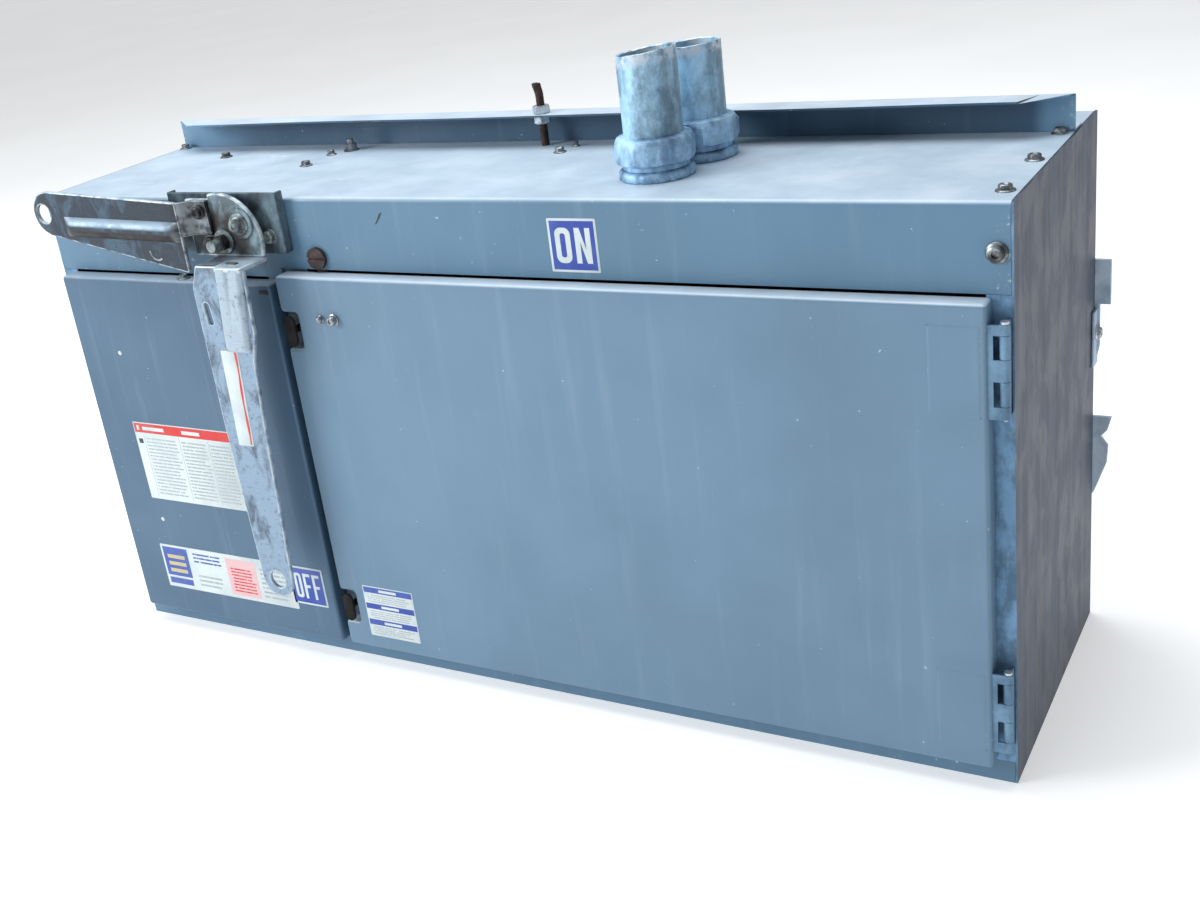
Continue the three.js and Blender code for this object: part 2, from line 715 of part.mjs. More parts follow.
// Long arm: a shelf forward from the sector's foot, then the flat arm down.
function offArm() {
  const face = FRONT - OFF_ARM_FRONT;
  const top = pivotZ - SECTOR_LOW - GAP;
  const tip = pivotZ - OFF_ARM_LENGTH;
  const at = ([across, down]) => [pivotX + across, top - down];
  const outline = new THREE.Shape();
  outline.moveTo(...at(OFF_LEFT_EDGE[0]));
  OFF_LEFT_EDGE.slice(1).forEach((point) => outline.lineTo(...at(point)));
  outline.lineTo(pivotX - ARM_TIP_RADIUS, tip);
  outline.absarc(pivotX, tip, ARM_TIP_RADIUS, Math.PI, 2 * Math.PI, false);
  OFF_RIGHT_EDGE.forEach((point) => outline.lineTo(...at(point)));
  outline.closePath();
  const shelfEnds = [pivotX + OFF_LEFT_EDGE[0][0], pivotX + OFF_CHANNEL.at(-1)[0]];
  const holeSpan = [face - RIB_PROUD - 1, face + ARM_THICK + 1];
  const [slotLeft, slotRight, slotHigh, slotLow] = OFF_SLOT;
  return cut(
    join(
      prism('y', outline, [face, face + ARM_THICK], 10),
      prism('y', polygon(OFF_CHANNEL.map(at)), [face - RIB_PROUD, face + 1]),
      block(shelfEnds, [face, sectorFront + SECTOR_THICK], [top - OFF_SHELF_THICK, top]),
    ),
    block([pivotX + slotLeft, pivotX + slotRight], holeSpan, [top - slotLow, top - slotHigh]),
    bar('y', [pivotX, tip], HOOK_HOLE_RADIUS, holeSpan, 20),
  );
}

// Short arm: root on the sector, one joggle forward, then the tapered arm.
function onArm() {
  const face = FRONT - ON_ARM_FRONT;
  const rootFace = sectorFront - GAP;
  const rootFront = rootFace - ARM_THICK;
  const holeX = pivotX - ON_HOLE_X;
  const holeZ = pivotZ + ON_HOLE_Z;
  const tipX = holeX + ON_TIP_SHIFT;
  const elbow = pivotX - ON_ELBOW;
  const bend = elbow + ON_JOGGLE;
  const rootSpan = [pivotZ + ON_ROOT_LOW, pivotZ + SECTOR_SHOULDER];
  const outline = new THREE.Shape();
  outline.moveTo(elbow, pivotZ - ON_ELBOW_LOW);
  outline.lineTo(elbow, rootSpan[1]);
  outline.lineTo(tipX, holeZ + ON_TIP_RADIUS);
  outline.absarc(tipX, holeZ, ON_TIP_RADIUS, Math.PI / 2, 1.4 * Math.PI, false);
  outline.closePath();
  const joggle = polygon([
    [elbow - 2, face],
    [elbow + 2, face],
    [bend + 2, rootFront],
    [bend + 2, rootFace],
    [bend - 5, rootFace],
    [elbow - 2, face + ARM_THICK],
  ]);
  const [startIn, startLow, startHigh] = ON_RIB_START;
  const [endIn, endLow, endHigh] = ON_RIB_END;
  const rib = polygon([
    [holeX + startIn, pivotZ + startLow],
    [elbow - endIn, pivotZ + endLow],
    [elbow - endIn, pivotZ + endHigh],
    [holeX + startIn, pivotZ + startHigh],
  ]);
  return cut(
    join(
      prism('y', outline, [face, face + ARM_THICK], 12),
      prism('z', joggle, rootSpan),
      block([bend, pivotX - ON_ROOT_RIGHT], [rootFront, rootFace], rootSpan),
      prism('y', rib, [face - RIB_PROUD, face + 1]),
    ),
    bar('y', [holeX, holeZ], HOOK_HOLE_RADIUS, [face - RIB_PROUD - 1, face + ARM_THICK + 1], 20),
  );
}

function handleShaft() {
  return join(
    bar('y', [pivotX, pivotZ], SHAFT_RADIUS, [sectorFront + SECTOR_THICK + GAP, crankY], 24),
    bar('y', [pivotX, pivotZ], STUD_RADIUS, [sectorFront - 22, sectorFront + SECTOR_THICK + 1], 24),
  );
}

function shaftNut() {
  const back = sectorFront - GAP;
  return cut(
    join(
      bar('y', [pivotX, pivotZ], 13, [back - 3, back], 24),
      hexBar('y', [pivotX, pivotZ], 19, [back - 12, back - 2]),
    ),
    bar('y', [pivotX, pivotZ], STUD_RADIUS + GAP, [back - 13, back + 1], 24),
  );
}

function driveBolt() {
  const face = sectorFront - GAP;
  return join(
    bar('y', driveCentre, 13.5, [face - 2.5, face], 24),
    hexBar('y', driveCentre, 15, [face - 10, face - 2]),
    bar('y', driveCentre, STUD_RADIUS, [face - 3, sectorFront + SECTOR_THICK + 1.5], 16),
  );
}

// --------------------------------------------------------- switch mechanism
function shaftCrank() {
  const pin = [pivotX - crankOffset, pivotZ - crankOffset];
  const back = crankY + CRANK_THICK + 0.3;
  const arm = strap([pivotX, pivotZ], pin, CRANK_HUB_HALF, CRANK_EYE - 1);
  const span = [crankY + GAP, back];
  return join(
    bar('y', [pivotX, pivotZ], CRANK_HUB, span),
    prism('y', arm, span),
    bar('y', pin, CRANK_EYE, span, 16),
    bar('y', pin, CRANK_PIN_RADIUS, [back - 1, slidePlateY + SLIDE_THICK + 3], 16),
  );
}

// Flat bar along X with an upright lug for the shaft crank's pin, a cross slot
// for the crossbar crank's pin and a tail through the centre post's window.
function slideBar() {
  const upright = pivotX - crankOffset;
  const cross = switchX - crankOffset;
  const play = CRANK_PIN_RADIUS + SLOT_PLAY;
  const lugTop = pivotZ - crankOffset + SLIDE_LUG_RISE;
  const lug = [upright - SLIDE_LUG_HALF, upright + SLIDE_LUG_HALF];
  const plateSpan = [slidePlateY, slidePlateY + SLIDE_THICK];
  const flatY = [slidePlateY, switchY - crankOffset + CRANK_PIN_RADIUS + 8];
  const tailY = [slidePlateY, slidePlateY + SLIDE_TAIL_WIDTH];
  const flatZ = [slideZ, slideZ + SLIDE_THICK];
  return cut(
    join(
      block([cross - SLIDE_LUG_HALF, lug[1]], flatY, flatZ),
      block([upright, upright + SLIDE_TAIL], tailY, flatZ),
      block(lug, plateSpan, [slideZ, lugTop]),
    ),
    block(
      [upright - play, upright + play],
      [slidePlateY - 1, slidePlateY + SLIDE_THICK + 1],
      [slideZ + SLIDE_THICK + 1, lugTop - 5],
    ),
    block(
      [cross - play, cross + play],
      [switchY - CRANK_RADIUS - play, switchY - crankOffset + play],
      [slideZ - 1, slideZ + SLIDE_THICK + 1],
    ),
  );
}

function crossbarCrank() {
  const top = slideZ - 4;
  const pin = [switchX - crankOffset, switchY - crankOffset];
  const span = [top - CRANK_THICK, top];
  const arm = strap([switchX, switchY], pin, CRANK_HUB_HALF, CRANK_EYE - 1);
  return cut(
    join(
      bar('z', [switchX, switchY], CRANK_HUB, span),
      prism('z', arm, span),
      bar('z', pin, CRANK_EYE, span, 16),
      bar('z', pin, CRANK_PIN_RADIUS, [top - 1, slideZ + SLIDE_THICK + 3], 16),
    ),
    bar('z', [switchX, switchY], SHAFT_RADIUS + GAP, [span[0] - 1, top + 1]),
  );
}

function crossbar() {
  const low = POLE_LOWEST - CROSSBAR_BELOW;
  const half = CROSSBAR_HALF;
  const slots = poleZ.map((z) =>
    block(
      [switchX - BLADE_WIDTH / 2 - GAP, switchX + BLADE_WIDTH / 2 + GAP],
      [switchY - half - 1, switchY + half + 1],
      [z - BLADE_THICK / 2 - GAP, z + BLADE_THICK / 2 + GAP],
    ),
  );
  return cut(
    join(
      block([switchX - half, switchX + half], [switchY - half, switchY + half], [low, crossbarTop]),
      bar('z', [switchX, switchY], SHAFT_RADIUS, [low - 40, low + 1]),
      bar('z', [switchX, switchY], SHAFT_RADIUS, [crossbarTop - 1, slideZ - 3.5]),
    ),
    ...slots,
  );
}

function crossbarBearing() {
  const low = POLE_LOWEST - CROSSBAR_BELOW;
  const floor = SHEET + GAP;
  return cut(
    block([switchX - 26, switchX + 26], [switchY - 26, switchY + 26], [floor, low - 8]),
    bar('z', [switchX, switchY], SHAFT_RADIUS + SHAFT_PLAY, [low - 41, low]),
  );
}

function blade(z) {
  const half = BLADE_WIDTH / 2;
  const thick = BLADE_THICK / 2;
  return block(
    [switchX - half, switchX + half],
    [switchY - BLADE_REACH, switchY + BLADE_REACH],
    [z - thick, z + thick],
  );
}

// Two leaves above and below the blade's plane, closed at one X end.
function bladeJaw(side, z) {
  const inner = switchX + side * (BLADE_REACH - JAW_GRIP);
  const outer = switchX + side * (BLADE_REACH + 10);
  const span = [inner, outer].sort((a, b) => a - b);
  const far = [outer, outer + side * BAR_THICK].sort((a, b) => a - b);
  const clear = BLADE_THICK / 2 + GAP;
  const leafY = [switchY - JAW_HALF, switchY + JAW_HALF];
  return join(
    block([span[0] - 1, span[1] + 1], leafY, [z + clear, z + clear + JAW_LEAF]),
    block([span[0] - 1, span[1] + 1], leafY, [z - clear - JAW_LEAF, z - clear]),
    block(far, leafY, [z - BAR_HALF, z + BAR_HALF]),
  );
}

function lineJaw(z) {
  const x1 = switchX - BLADE_REACH - 10;
  const x0 = x1 - BAR_THICK;
  const tall = [z - BAR_HALF, z + BAR_HALF];
  const leaf = x1 + STAB_GAP;
  return join(
    bladeJaw(-1, z),
    block([x0, x1], [switchY, BACK + STAB_REACH], tall),
    block([x0, leaf + STAB_LEAF], [BACK + 2, BACK + 7], tall),
    block([leaf, leaf + STAB_LEAF], [BACK + 2, BACK + STAB_REACH], tall),
  );
}

// Clip for a fuse's flat end: two leaves in front of the strap.
function fuseClip([x0, x1], z) {
  const clear = FUSE_BLADE_THICK / 2 + GAP;
  const leafY = [strapY - BAR_THICK - 36, strapY - 1];
  return join(
    block([x0, x1], leafY, [z + clear, z + clear + JAW_LEAF]),
    block([x0, x1], leafY, [z - clear - JAW_LEAF, z - clear]),
  );
}

function boardFoot(x, z) {
  return block([x, x + BAR_THICK], [strapY - 1, boardFront - GAP], [z - BAR_HALF, z + BAR_HALF]);
}

function loadJaw(z) {
  const x0 = switchX + BLADE_REACH + 10;
  const clipEnd = fuseX - FUSE_BODY_LENGTH / 2 - 4;
  const clipStart = fuseX - fuseHalf;
  return join(
    bladeJaw(1, z),
    block([x0, clipEnd], [strapY - BAR_THICK, strapY], [z - BAR_HALF, z + BAR_HALF]),
    boardFoot(x0, z),
    boardFoot(clipStart, z),
    fuseClip([clipStart, clipEnd], z),
  );
}

function fuse(z) {
  const body = FUSE_BODY_LENGTH / 2;
  const y = strapY - BAR_THICK - GAP - FUSE_BLADE_WIDTH / 2;
  const thick = FUSE_BLADE_THICK / 2;
  return join(
    bar('x', [y, z], FUSE_BODY_RADIUS, [fuseX - body, fuseX + body], 24),
    block(
      [fuseX - fuseHalf + 2, fuseX + fuseHalf - 2],
      [y - FUSE_BLADE_WIDTH / 2, y + FUSE_BLADE_WIDTH / 2],
      [z - thick, z + thick],
    ),
  );
}

function loadLug(z) {
  const clipStart = fuseX + FUSE_BODY_LENGTH / 2 + 4;
  const clipEnd = fuseX + fuseHalf;
  const lug = [lugX - 20, lugX + 20];
  const lugY = [strapY - BAR_THICK - 36, strapY - 1];
  const tall = [z - LUG_HALF, z + LUG_HALF];
  return cut(
    join(
      fuseClip([clipStart, clipEnd], z),
      block([clipStart, lugX + 20], [strapY - BAR_THICK, strapY], [z - BAR_HALF, z + BAR_HALF]),
      block(lug, lugY, tall),
      boardFoot(clipEnd - BAR_THICK, z),
      boardFoot(lugX - 3, z),
    ),
    bar('z', [lugX, (lugY[0] + lugY[1]) / 2 - 2], LUG_BORE, [tall[0] - 1, tall[1] + 1], 20),
  );
}

function switchBoard() {
  const x = [LEFT + 28, postWebX - 30];
  const high = topPole + BOARD_BEYOND;
  const armTop = crossbarTop + BOARD_ARM;
  const windows = poleZ.map((z) =>
    block(
      [switchX - BLADE_REACH - 10 - BAR_THICK - GAP, switchX - BLADE_REACH - 10 + GAP],
      [boardFront - 1, boardFront + BOARD_THICK + 1],
      [z - BAR_HALF - GAP, z + BAR_HALF + GAP],
    ),
  );
  return cut(
    join(
      block(x, [boardFront, boardFront + BOARD_THICK], [POLE_LOWEST - BOARD_BEYOND, high]),
      block([switchX - 24, switchX + 24], [boardFront, boardFront + BOARD_THICK], [high - 1, armTop]),
      block([switchX - 24, switchX + 24], [switchY - 20, boardFront + 1], [armTop - 10, armTop]),
    ),
    bar('z', [switchX, switchY], SHAFT_RADIUS + SHAFT_PLAY, [armTop - 11, armTop + 1]),
    ...windows,
  );
}

function fuseBoard() {
  return block(
    [postWebX + 30, lugX + 35],
    [boardFront, boardFront + BOARD_THICK],
    [POLE_LOWEST - BOARD_BEYOND, topPole + BOARD_BEYOND],
  );
}

function groundLug() {
  const x = RIGHT - 90;
  const y = switchY + 40;
  const floor = SHEET + GAP;
  return cut(
    join(
      block([x - 16, x + 30], [y - 12, y + 12], [floor, floor + 4]),
      block([x - 14, x + 14], [y - 12, y + 12], [floor, floor + 30]),
    ),
    bar('y', [x, floor + 18], 7, [y - 13, y + 13], 16),
  );
}

// ----------------------------------------------------------------- top side
function conduit({ x, y, cut: rise, slope }) {
  const centre = [LEFT + x, FRONT + y];
  const top = HEIGHT + rise;
  const half = CONDUIT_RADIUS + 2;
  const lid = polygon([
    [centre[0] - half, top - half * slope],
    [centre[0] + half, top + half * slope],
    [centre[0] + half, top + 40],
    [centre[0] - half, top + 40],
  ]);
  const span = [HEIGHT - CONDUIT_BELOW, top + 12];
  return cut(
    bar('z', centre, CONDUIT_RADIUS, span, 32),
    bar('z', centre, CONDUIT_RADIUS - CONDUIT_WALL, [span[0] - 1, span[1] + 1], 32),
    prism('y', lid, [centre[1] - half, centre[1] + half]),
  );
}

function locknut({ x, y }) {
  const centre = [LEFT + x, FRONT + y];
  const span = [HEIGHT + GAP, HEIGHT + GAP + LOCKNUT_HEIGHT];
  return cut(
    bar('z', centre, LOCKNUT_RADIUS, span, 32),
    bar('z', centre, CONDUIT_RADIUS + GAP, [span[0] - 1, span[1] + 1], 32),
  );
}

function couplingNut({ x, y }) {
  const centre = [LEFT + x, FRONT + y];
  const low = HEIGHT + 2 * GAP + LOCKNUT_HEIGHT;
  const corner = COUPLING_ACROSS / 2 / Math.cos(Math.PI / 8);
  const body = [low + COUPLING_SKIRT, low + COUPLING_SKIRT + COUPLING_HEIGHT];
  return cut(
    join(
      bar('z', centre, CONDUIT_RADIUS + 3.5, [low, body[0] + 1], 32),
      bar('z', centre, Math.min(corner, LOCKNUT_RADIUS), body, 8, Math.PI / 8),
    ),
    bar('z', centre, CONDUIT_RADIUS + GAP, [low - 1, body[1] + 1], 32),
  );
}

function hangerRod() {
  const centre = [LEFT + ROD_X, FRONT + ROD_Y];
  const top = HEIGHT + ROD_ABOVE;
  return join(
    bar('z', centre, ROD_RADIUS, [HEIGHT - ROD_BELOW, top - 14], 16),
    block([centre[0] - 4, centre[0] + 4], [centre[1] - 3, centre[1] + 3], [top - 15, top]),
  );
}

function rodNut(low) {
  const centre = [LEFT + ROD_X, FRONT + ROD_Y];
  return cut(
    hexBar('z', centre, ROD_NUT_ACROSS, [low, low + ROD_NUT_HEIGHT]),
    bar('z', centre, ROD_RADIUS + GAP, [low - 1, low + ROD_NUT_HEIGHT + 1], 16),
  );
}

function releaseScrew() {
  const centre = [LEFT + RELEASE_X, HEIGHT - RELEASE_DROP];
  const head = FRONT - GAP;
  const rear = FRONT + SHEET + GAP;
  return cut(
    join(
      bar('y', centre, RELEASE_HEAD, [head - 4, head], 24),
      bar('y', centre, RELEASE_SHANK, [head - 1, rear + 8], 16),
      block([centre[0] - 6, centre[0] + 6], [rear, rear + 5], [centre[1] - 22, centre[1] + 6]),
    ),
    block([centre[0] - 14, centre[0] + 14], [head - 5, head - 2], [centre[1] - 1.2, centre[1] + 1.2]),
  );
}

// ---------------------------------------------------------------- rear side
function plugOnHook(side) {
  const outline = HOOK_OUTLINE.map(([past, z]) => [side * (RIGHT + past), z]);
  return prism('y', polygon(outline), rearPlate);
}

// Upright plate behind the box, with a bolted tab on the right end plate.
function supportBracket() {
  const outline = BRACKET_OUTLINE.map(([past, z]) => [RIGHT + past, z]);
  return join(
    prism('y', polygon(outline), rearPlate),
    block([RIGHT + GAP, RIGHT + GAP + TAB_THICK], [BACK - TAB_REACH, rearPlate[1]], TAB_SPAN),
  );
}

// ----------------------------------------------------------------- assembly
place('back_wall', backWall(), GALVANISED);
place('bottom_pan', bottomPan(), PAINT);
place('left_end_plate', endPlate(-1), GALVANISED);
place('right_end_plate', cut(endPlate(1), ...hingeSlits()), GALVANISED);
place('top_hood', topHood(), PAINT);
place('busway_flange', buswayFlange(), PAINT);
place('centre_post', centrePost(), GALVANISED);
place('switch_cover', pan([coverLeft, coverRight], [COVER_BOTTOM, coverTop]), PAINT);
place('fuse_door', fuseDoor(), PAINT);

const hingeRows = [
  ['upper', HEIGHT - HINGE_UPPER_DROP, HEIGHT - LATCH_UPPER_DROP],
  ['lower', HINGE_LOWER, LATCH_LOWER],
];
for (const [row, hingeLow, latchZ] of hingeRows) {
  place(`hinge_door_leaf_${row}`, doorLeaf(hingeLow), GALVANISED);
  place(`hinge_frame_leaf_${row}`, frameLeaf(hingeLow), GALVANISED);
  place(`hinge_pin_${row}`, hingePin(hingeLow), BRIGHT_ZINC);
  place(`door_latch_${row}`, doorLatch(latchZ), DARK_STEEL);
}

place('handle_bracket', handleBracket(), WORN_STEEL);
place('handle_sector', sectorPlate(), WORN_STEEL);
place('handle_arm_off', offArm(), WORN_STEEL);
place('handle_arm_on', onArm(), WORN_STEEL);
place('handle_shaft', handleShaft(), WORN_STEEL);
place('handle_shaft_nut', shaftNut(), WORN_STEEL);
place('handle_drive_bolt', driveBolt(), WORN_STEEL);
place('shaft_crank', shaftCrank(), WORN_STEEL);
place('slide_bar', slideBar(), BRIGHT_ZINC);
place('crossbar_crank', crossbarCrank(), BRIGHT_ZINC);
place('crossbar', crossbar(), BOARD);
place('crossbar_bearing', crossbarBearing(), BOARD);
place('switch_board', switchBoard(), BOARD);
place('fuse_board', fuseBoard(), BOARD);
place('ground_lug', groundLug(), COPPER);

POLES.forEach((pole, i) => {
  place(`blade_${pole}`, blade(poleZ[i]), COPPER);
  place(`line_jaw_${pole}`, lineJaw(poleZ[i]), COPPER);
  place(`load_jaw_${pole}`, loadJaw(poleZ[i]), COPPER);
  place(`fuse_${pole}`, fuse(poleZ[i]), FUSE_TUBE);
  place(`load_lug_${pole}`, loadLug(poleZ[i]), COPPER);
});

for (const run of CONDUITS) {
  place(`conduit_${run.name}`, conduit(run), GALVANISED);
  place(`locknut_${run.name}`, locknut(run), BRIGHT_ZINC);
  place(`coupling_nut_${run.name}`, couplingNut(run), BRIGHT_ZINC);
}

place('hanger_rod', hangerRod(), DARK_STEEL);
place('hanger_nut_top', rodNut(flangeTop + GAP), BRIGHT_ZINC);
place('hanger_nut_bottom', rodNut(flangeTop - SHEET - GAP - ROD_NUT_HEIGHT), BRIGHT_ZINC);
place('release_screw', releaseScrew(), BRASS);
place('plug_on_hook_right', plugOnHook(1), GALVANISED);
place('plug_on_hook_left', plugOnHook(-1), GALVANISED);
place('support_bracket', supportBracket(), GALVANISED);

export default device;
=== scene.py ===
"""Fused disconnect switch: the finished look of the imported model, in its own frame.

Sizes inside the classes are in millimetres; a mesh is written in metres.
"""
import logging
import math
from dataclasses import dataclass, field
from enum import Enum
from typing import Optional, Sequence

import bmesh
import bpy
import numpy as np
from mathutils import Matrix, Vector
from mathutils.geometry import tessellate_polygon


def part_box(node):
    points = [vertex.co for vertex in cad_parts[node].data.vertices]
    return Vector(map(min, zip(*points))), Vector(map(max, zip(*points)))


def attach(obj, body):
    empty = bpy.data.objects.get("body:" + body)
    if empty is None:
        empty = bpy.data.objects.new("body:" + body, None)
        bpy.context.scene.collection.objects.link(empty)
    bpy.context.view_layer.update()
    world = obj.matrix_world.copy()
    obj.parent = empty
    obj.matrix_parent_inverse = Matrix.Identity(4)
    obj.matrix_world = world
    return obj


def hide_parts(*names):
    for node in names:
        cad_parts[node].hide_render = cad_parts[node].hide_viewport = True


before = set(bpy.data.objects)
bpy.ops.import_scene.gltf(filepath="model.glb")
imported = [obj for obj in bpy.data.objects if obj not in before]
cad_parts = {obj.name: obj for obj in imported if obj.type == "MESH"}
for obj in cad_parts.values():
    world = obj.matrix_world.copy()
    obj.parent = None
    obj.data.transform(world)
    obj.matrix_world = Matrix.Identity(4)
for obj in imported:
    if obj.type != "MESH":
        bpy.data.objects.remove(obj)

MM = 0.001
SHARP = math.radians(38.0)  # an edge past this angle stays sharp
EASED = math.radians(35.0)  # an edge past this angle is eased
FLAT = math.radians(1.0)  # faces closer than this become one
WELD = 2e-6  # metres within which points become one
HOOK_HOLE = 10.5  # radius of the hole for the operating stick
LOG = logging.getLogger("disconnect")
Socket = bpy.types.NodeSocket
Colour = tuple[float, float, float]
Area = tuple[float, float, float, float]  # left, right, foot and top


class Facing(Enum):
    """Which way a piece looks: its across, up and outward directions."""

    FRONT = ((1, 0, 0), (0, 0, 1), (0, -1, 0))
    TOP = ((1, 0, 0), (0, 1, 0), (0, 0, 1))
    RIGHT = ((0, 1, 0), (0, 0, 1), (1, 0, 0))


class Body(Enum):
    """The bodies that move on their own."""

    BOX = "enclosure"
    DOOR = "door"
    HANDLE = "handle"
    RELEASE = "release"
    ROTOR = "switch_rotor"
    LATCH_UPPER = "latch_upper"
    LATCH_LOWER = "latch_lower"


class Slot(Enum):
    """Material slots of the record."""

    PAINT = "painted_steel"
    GALVANISED = "galvanised_steel"
    ZINC = "zinc_plate"
    STEEL = "worn_steel"
    RUST = "rusted_steel"
    COPPER = "copper"
    BRASS = "old_brass"
    BOARD = "red_board"
    FUSE = "fuse_tube"


def tone(red: float, green: float, blue: float) -> Colour:
    """Linear colour of a display colour: c = ((s + 0.055) / 1.055) ** 2.4."""
    scaled = (np.array([red, green, blue]) / 255.0 + 0.055) / 1.055
    return tuple(float(v) for v in scaled**2.4)


@dataclass(frozen=True)
class Seat:
    """Where a shape stands: an origin in millimetres and the way it looks."""

    x: float
    y: float
    z: float
    facing: Facing = Facing.FRONT

    def lay(self, across: np.ndarray, up: np.ndarray, out: np.ndarray) -> np.ndarray:
        """Points of a shape given in its own directions.

        Args:
            across: distances across.
            up: distances up.
            out: distances outward.

        Returns:
            origin + across * A + up * U + out * W, as an array ending in 3.
        """
        axes = np.array(self.facing.value, float)
        parts = np.stack(np.broadcast_arrays(across, up, out), axis=-1)
        return np.array([self.x, self.y, self.z]) + parts @ axes


def corners_rounded(
    corners: Sequence[tuple[float, float]], radius: float | Sequence[float], steps: int = 5
) -> tuple[np.ndarray, np.ndarray]:
    """An outline with an arc in each corner, and the direction out of the material.

    A corner's arc is P - a*t + n*r turned by s*phi, with t = r * tan(phi / 2).

    Args:
        corners: the outline's corners, material on the left.
        radius: one radius or one for each corner.
        steps: points on each arc.

    Returns:
        The points and their unit normals, each as (count, 2).
    """
    spots = np.array(corners, float)
    radii = np.broadcast_to(np.array(radius, float), len(spots))
    ahead = np.roll(spots, -1, axis=0) - spots
    ahead /= np.linalg.norm(ahead, axis=1, keepdims=True)
    behind = np.roll(ahead, 1, axis=0)
    bend = np.arctan2(
        behind[:, 0] * ahead[:, 1] - behind[:, 1] * ahead[:, 0], (behind * ahead).sum(1)
    )
    reach = radii * np.tan(np.abs(bend) / 2)
    left = np.stack([-behind[:, 1], behind[:, 0]], 1)
    side = np.sign(bend)[:, None]
    centre = spots - behind * reach[:, None] + left * side * radii[:, None]
    turn = bend[:, None] * np.linspace(0, 1, steps)[None]
    cos, sin = np.cos(turn), np.sin(turn)
    nx = -left[:, 0][:, None] * cos + left[:, 1][:, None] * sin
    ny = -left[:, 0][:, None] * sin - left[:, 1][:, None] * cos
    normals = np.stack([nx, ny], -1)
    points = centre[:, None] + normals * (side * radii[:, None])[:, None]
    return points.reshape(-1, 2), normals.reshape(-1, 2)


def round_hole(x: float, z: float, radius: float, sides: int = 32) -> tuple[np.ndarray, np.ndarray]:
    """A hole's outline, walked so that the material stays on the left."""
    angle = -np.linspace(0, 2 * np.pi, sides, endpoint=False)
    ray = np.stack([np.cos(angle), np.sin(angle)], 1)
    return np.array([x, z]) + ray * radius, -ray


def bevel_rows(low: float, high: float, bevel: float, steps: int = 4, ring: float = 0.5) -> np.ndarray:
    """Rows (inset, height, wear) of a plate with rounded edges, low cap to high cap.

    The edge is a quarter circle: inset = b*(1 - cos q), height = h - b*(1 - sin q).
    """
    q = np.linspace(0, np.pi / 2, steps)
    up = np.stack([bevel * (1 - np.cos(q)), high - bevel * (1 - np.sin(q)), np.ones(steps)], 1)
    down = np.stack([bevel * (1 - np.cos(q)), low + bevel * (1 - np.sin(q)), np.ones(steps)], 1)[::-1]
    return np.vstack([[bevel + ring, low, 0], down, up, [bevel + ring, high, 0]])


def many_sided(angle: np.ndarray, across: float, sides: int, turn: float = 0.0) -> np.ndarray:
    """Radius of a regular polygon: r = (across / 2) / cos(((a - turn) mod s) - s / 2)."""
    share = 2 * np.pi / sides
    return across / 2 / np.cos(np.mod(angle - turn, share) - share / 2)


def film_rows(*heights: float, inset: float = 0.02) -> np.ndarray:
    """Rows of a thin film: set in at both ends, full in between."""
    inward = (inset, 0.0, 0.0, inset)
    return np.array([[step, height, 0.0] for step, height in zip(inward, heights)])


def welded(mesh: bpy.types.Mesh, reach: float = WELD, outward: bool = True) -> None:
    """Merges the points of a mesh that meet.

    Args:
        mesh: the mesh.
        reach: how near two points meet, in metres.
        outward: turns the faces outward; otherwise faces in one plane become one.
    """
    shell = bmesh.new()
    shell.from_mesh(mesh)
    bmesh.ops.remove_doubles(shell, verts=shell.verts, dist=reach)
    if outward:
        bmesh.ops.recalc_face_normals(shell, faces=shell.faces)
    else:
        bmesh.ops.dissolve_limit(shell, angle_limit=FLAT, verts=shell.verts, edges=shell.edges)
    shell.to_mesh(mesh)
    shell.free()


def smoothed(mesh: bpy.types.Mesh, sharp: float = SHARP) -> None:
    """Shades a mesh smooth up to an angle."""
    mesh.polygons.foreach_set("use_smooth", np.ones(len(mesh.polygons), bool))
    mesh.set_sharp_from_angle(angle=sharp)


def placed(name: str, data: bpy.types.ID) -> bpy.types.Object:
    """A new object in the scene."""
    item = bpy.data.objects.new(name, data)
    bpy.context.scene.collection.objects.link(item)
    return item


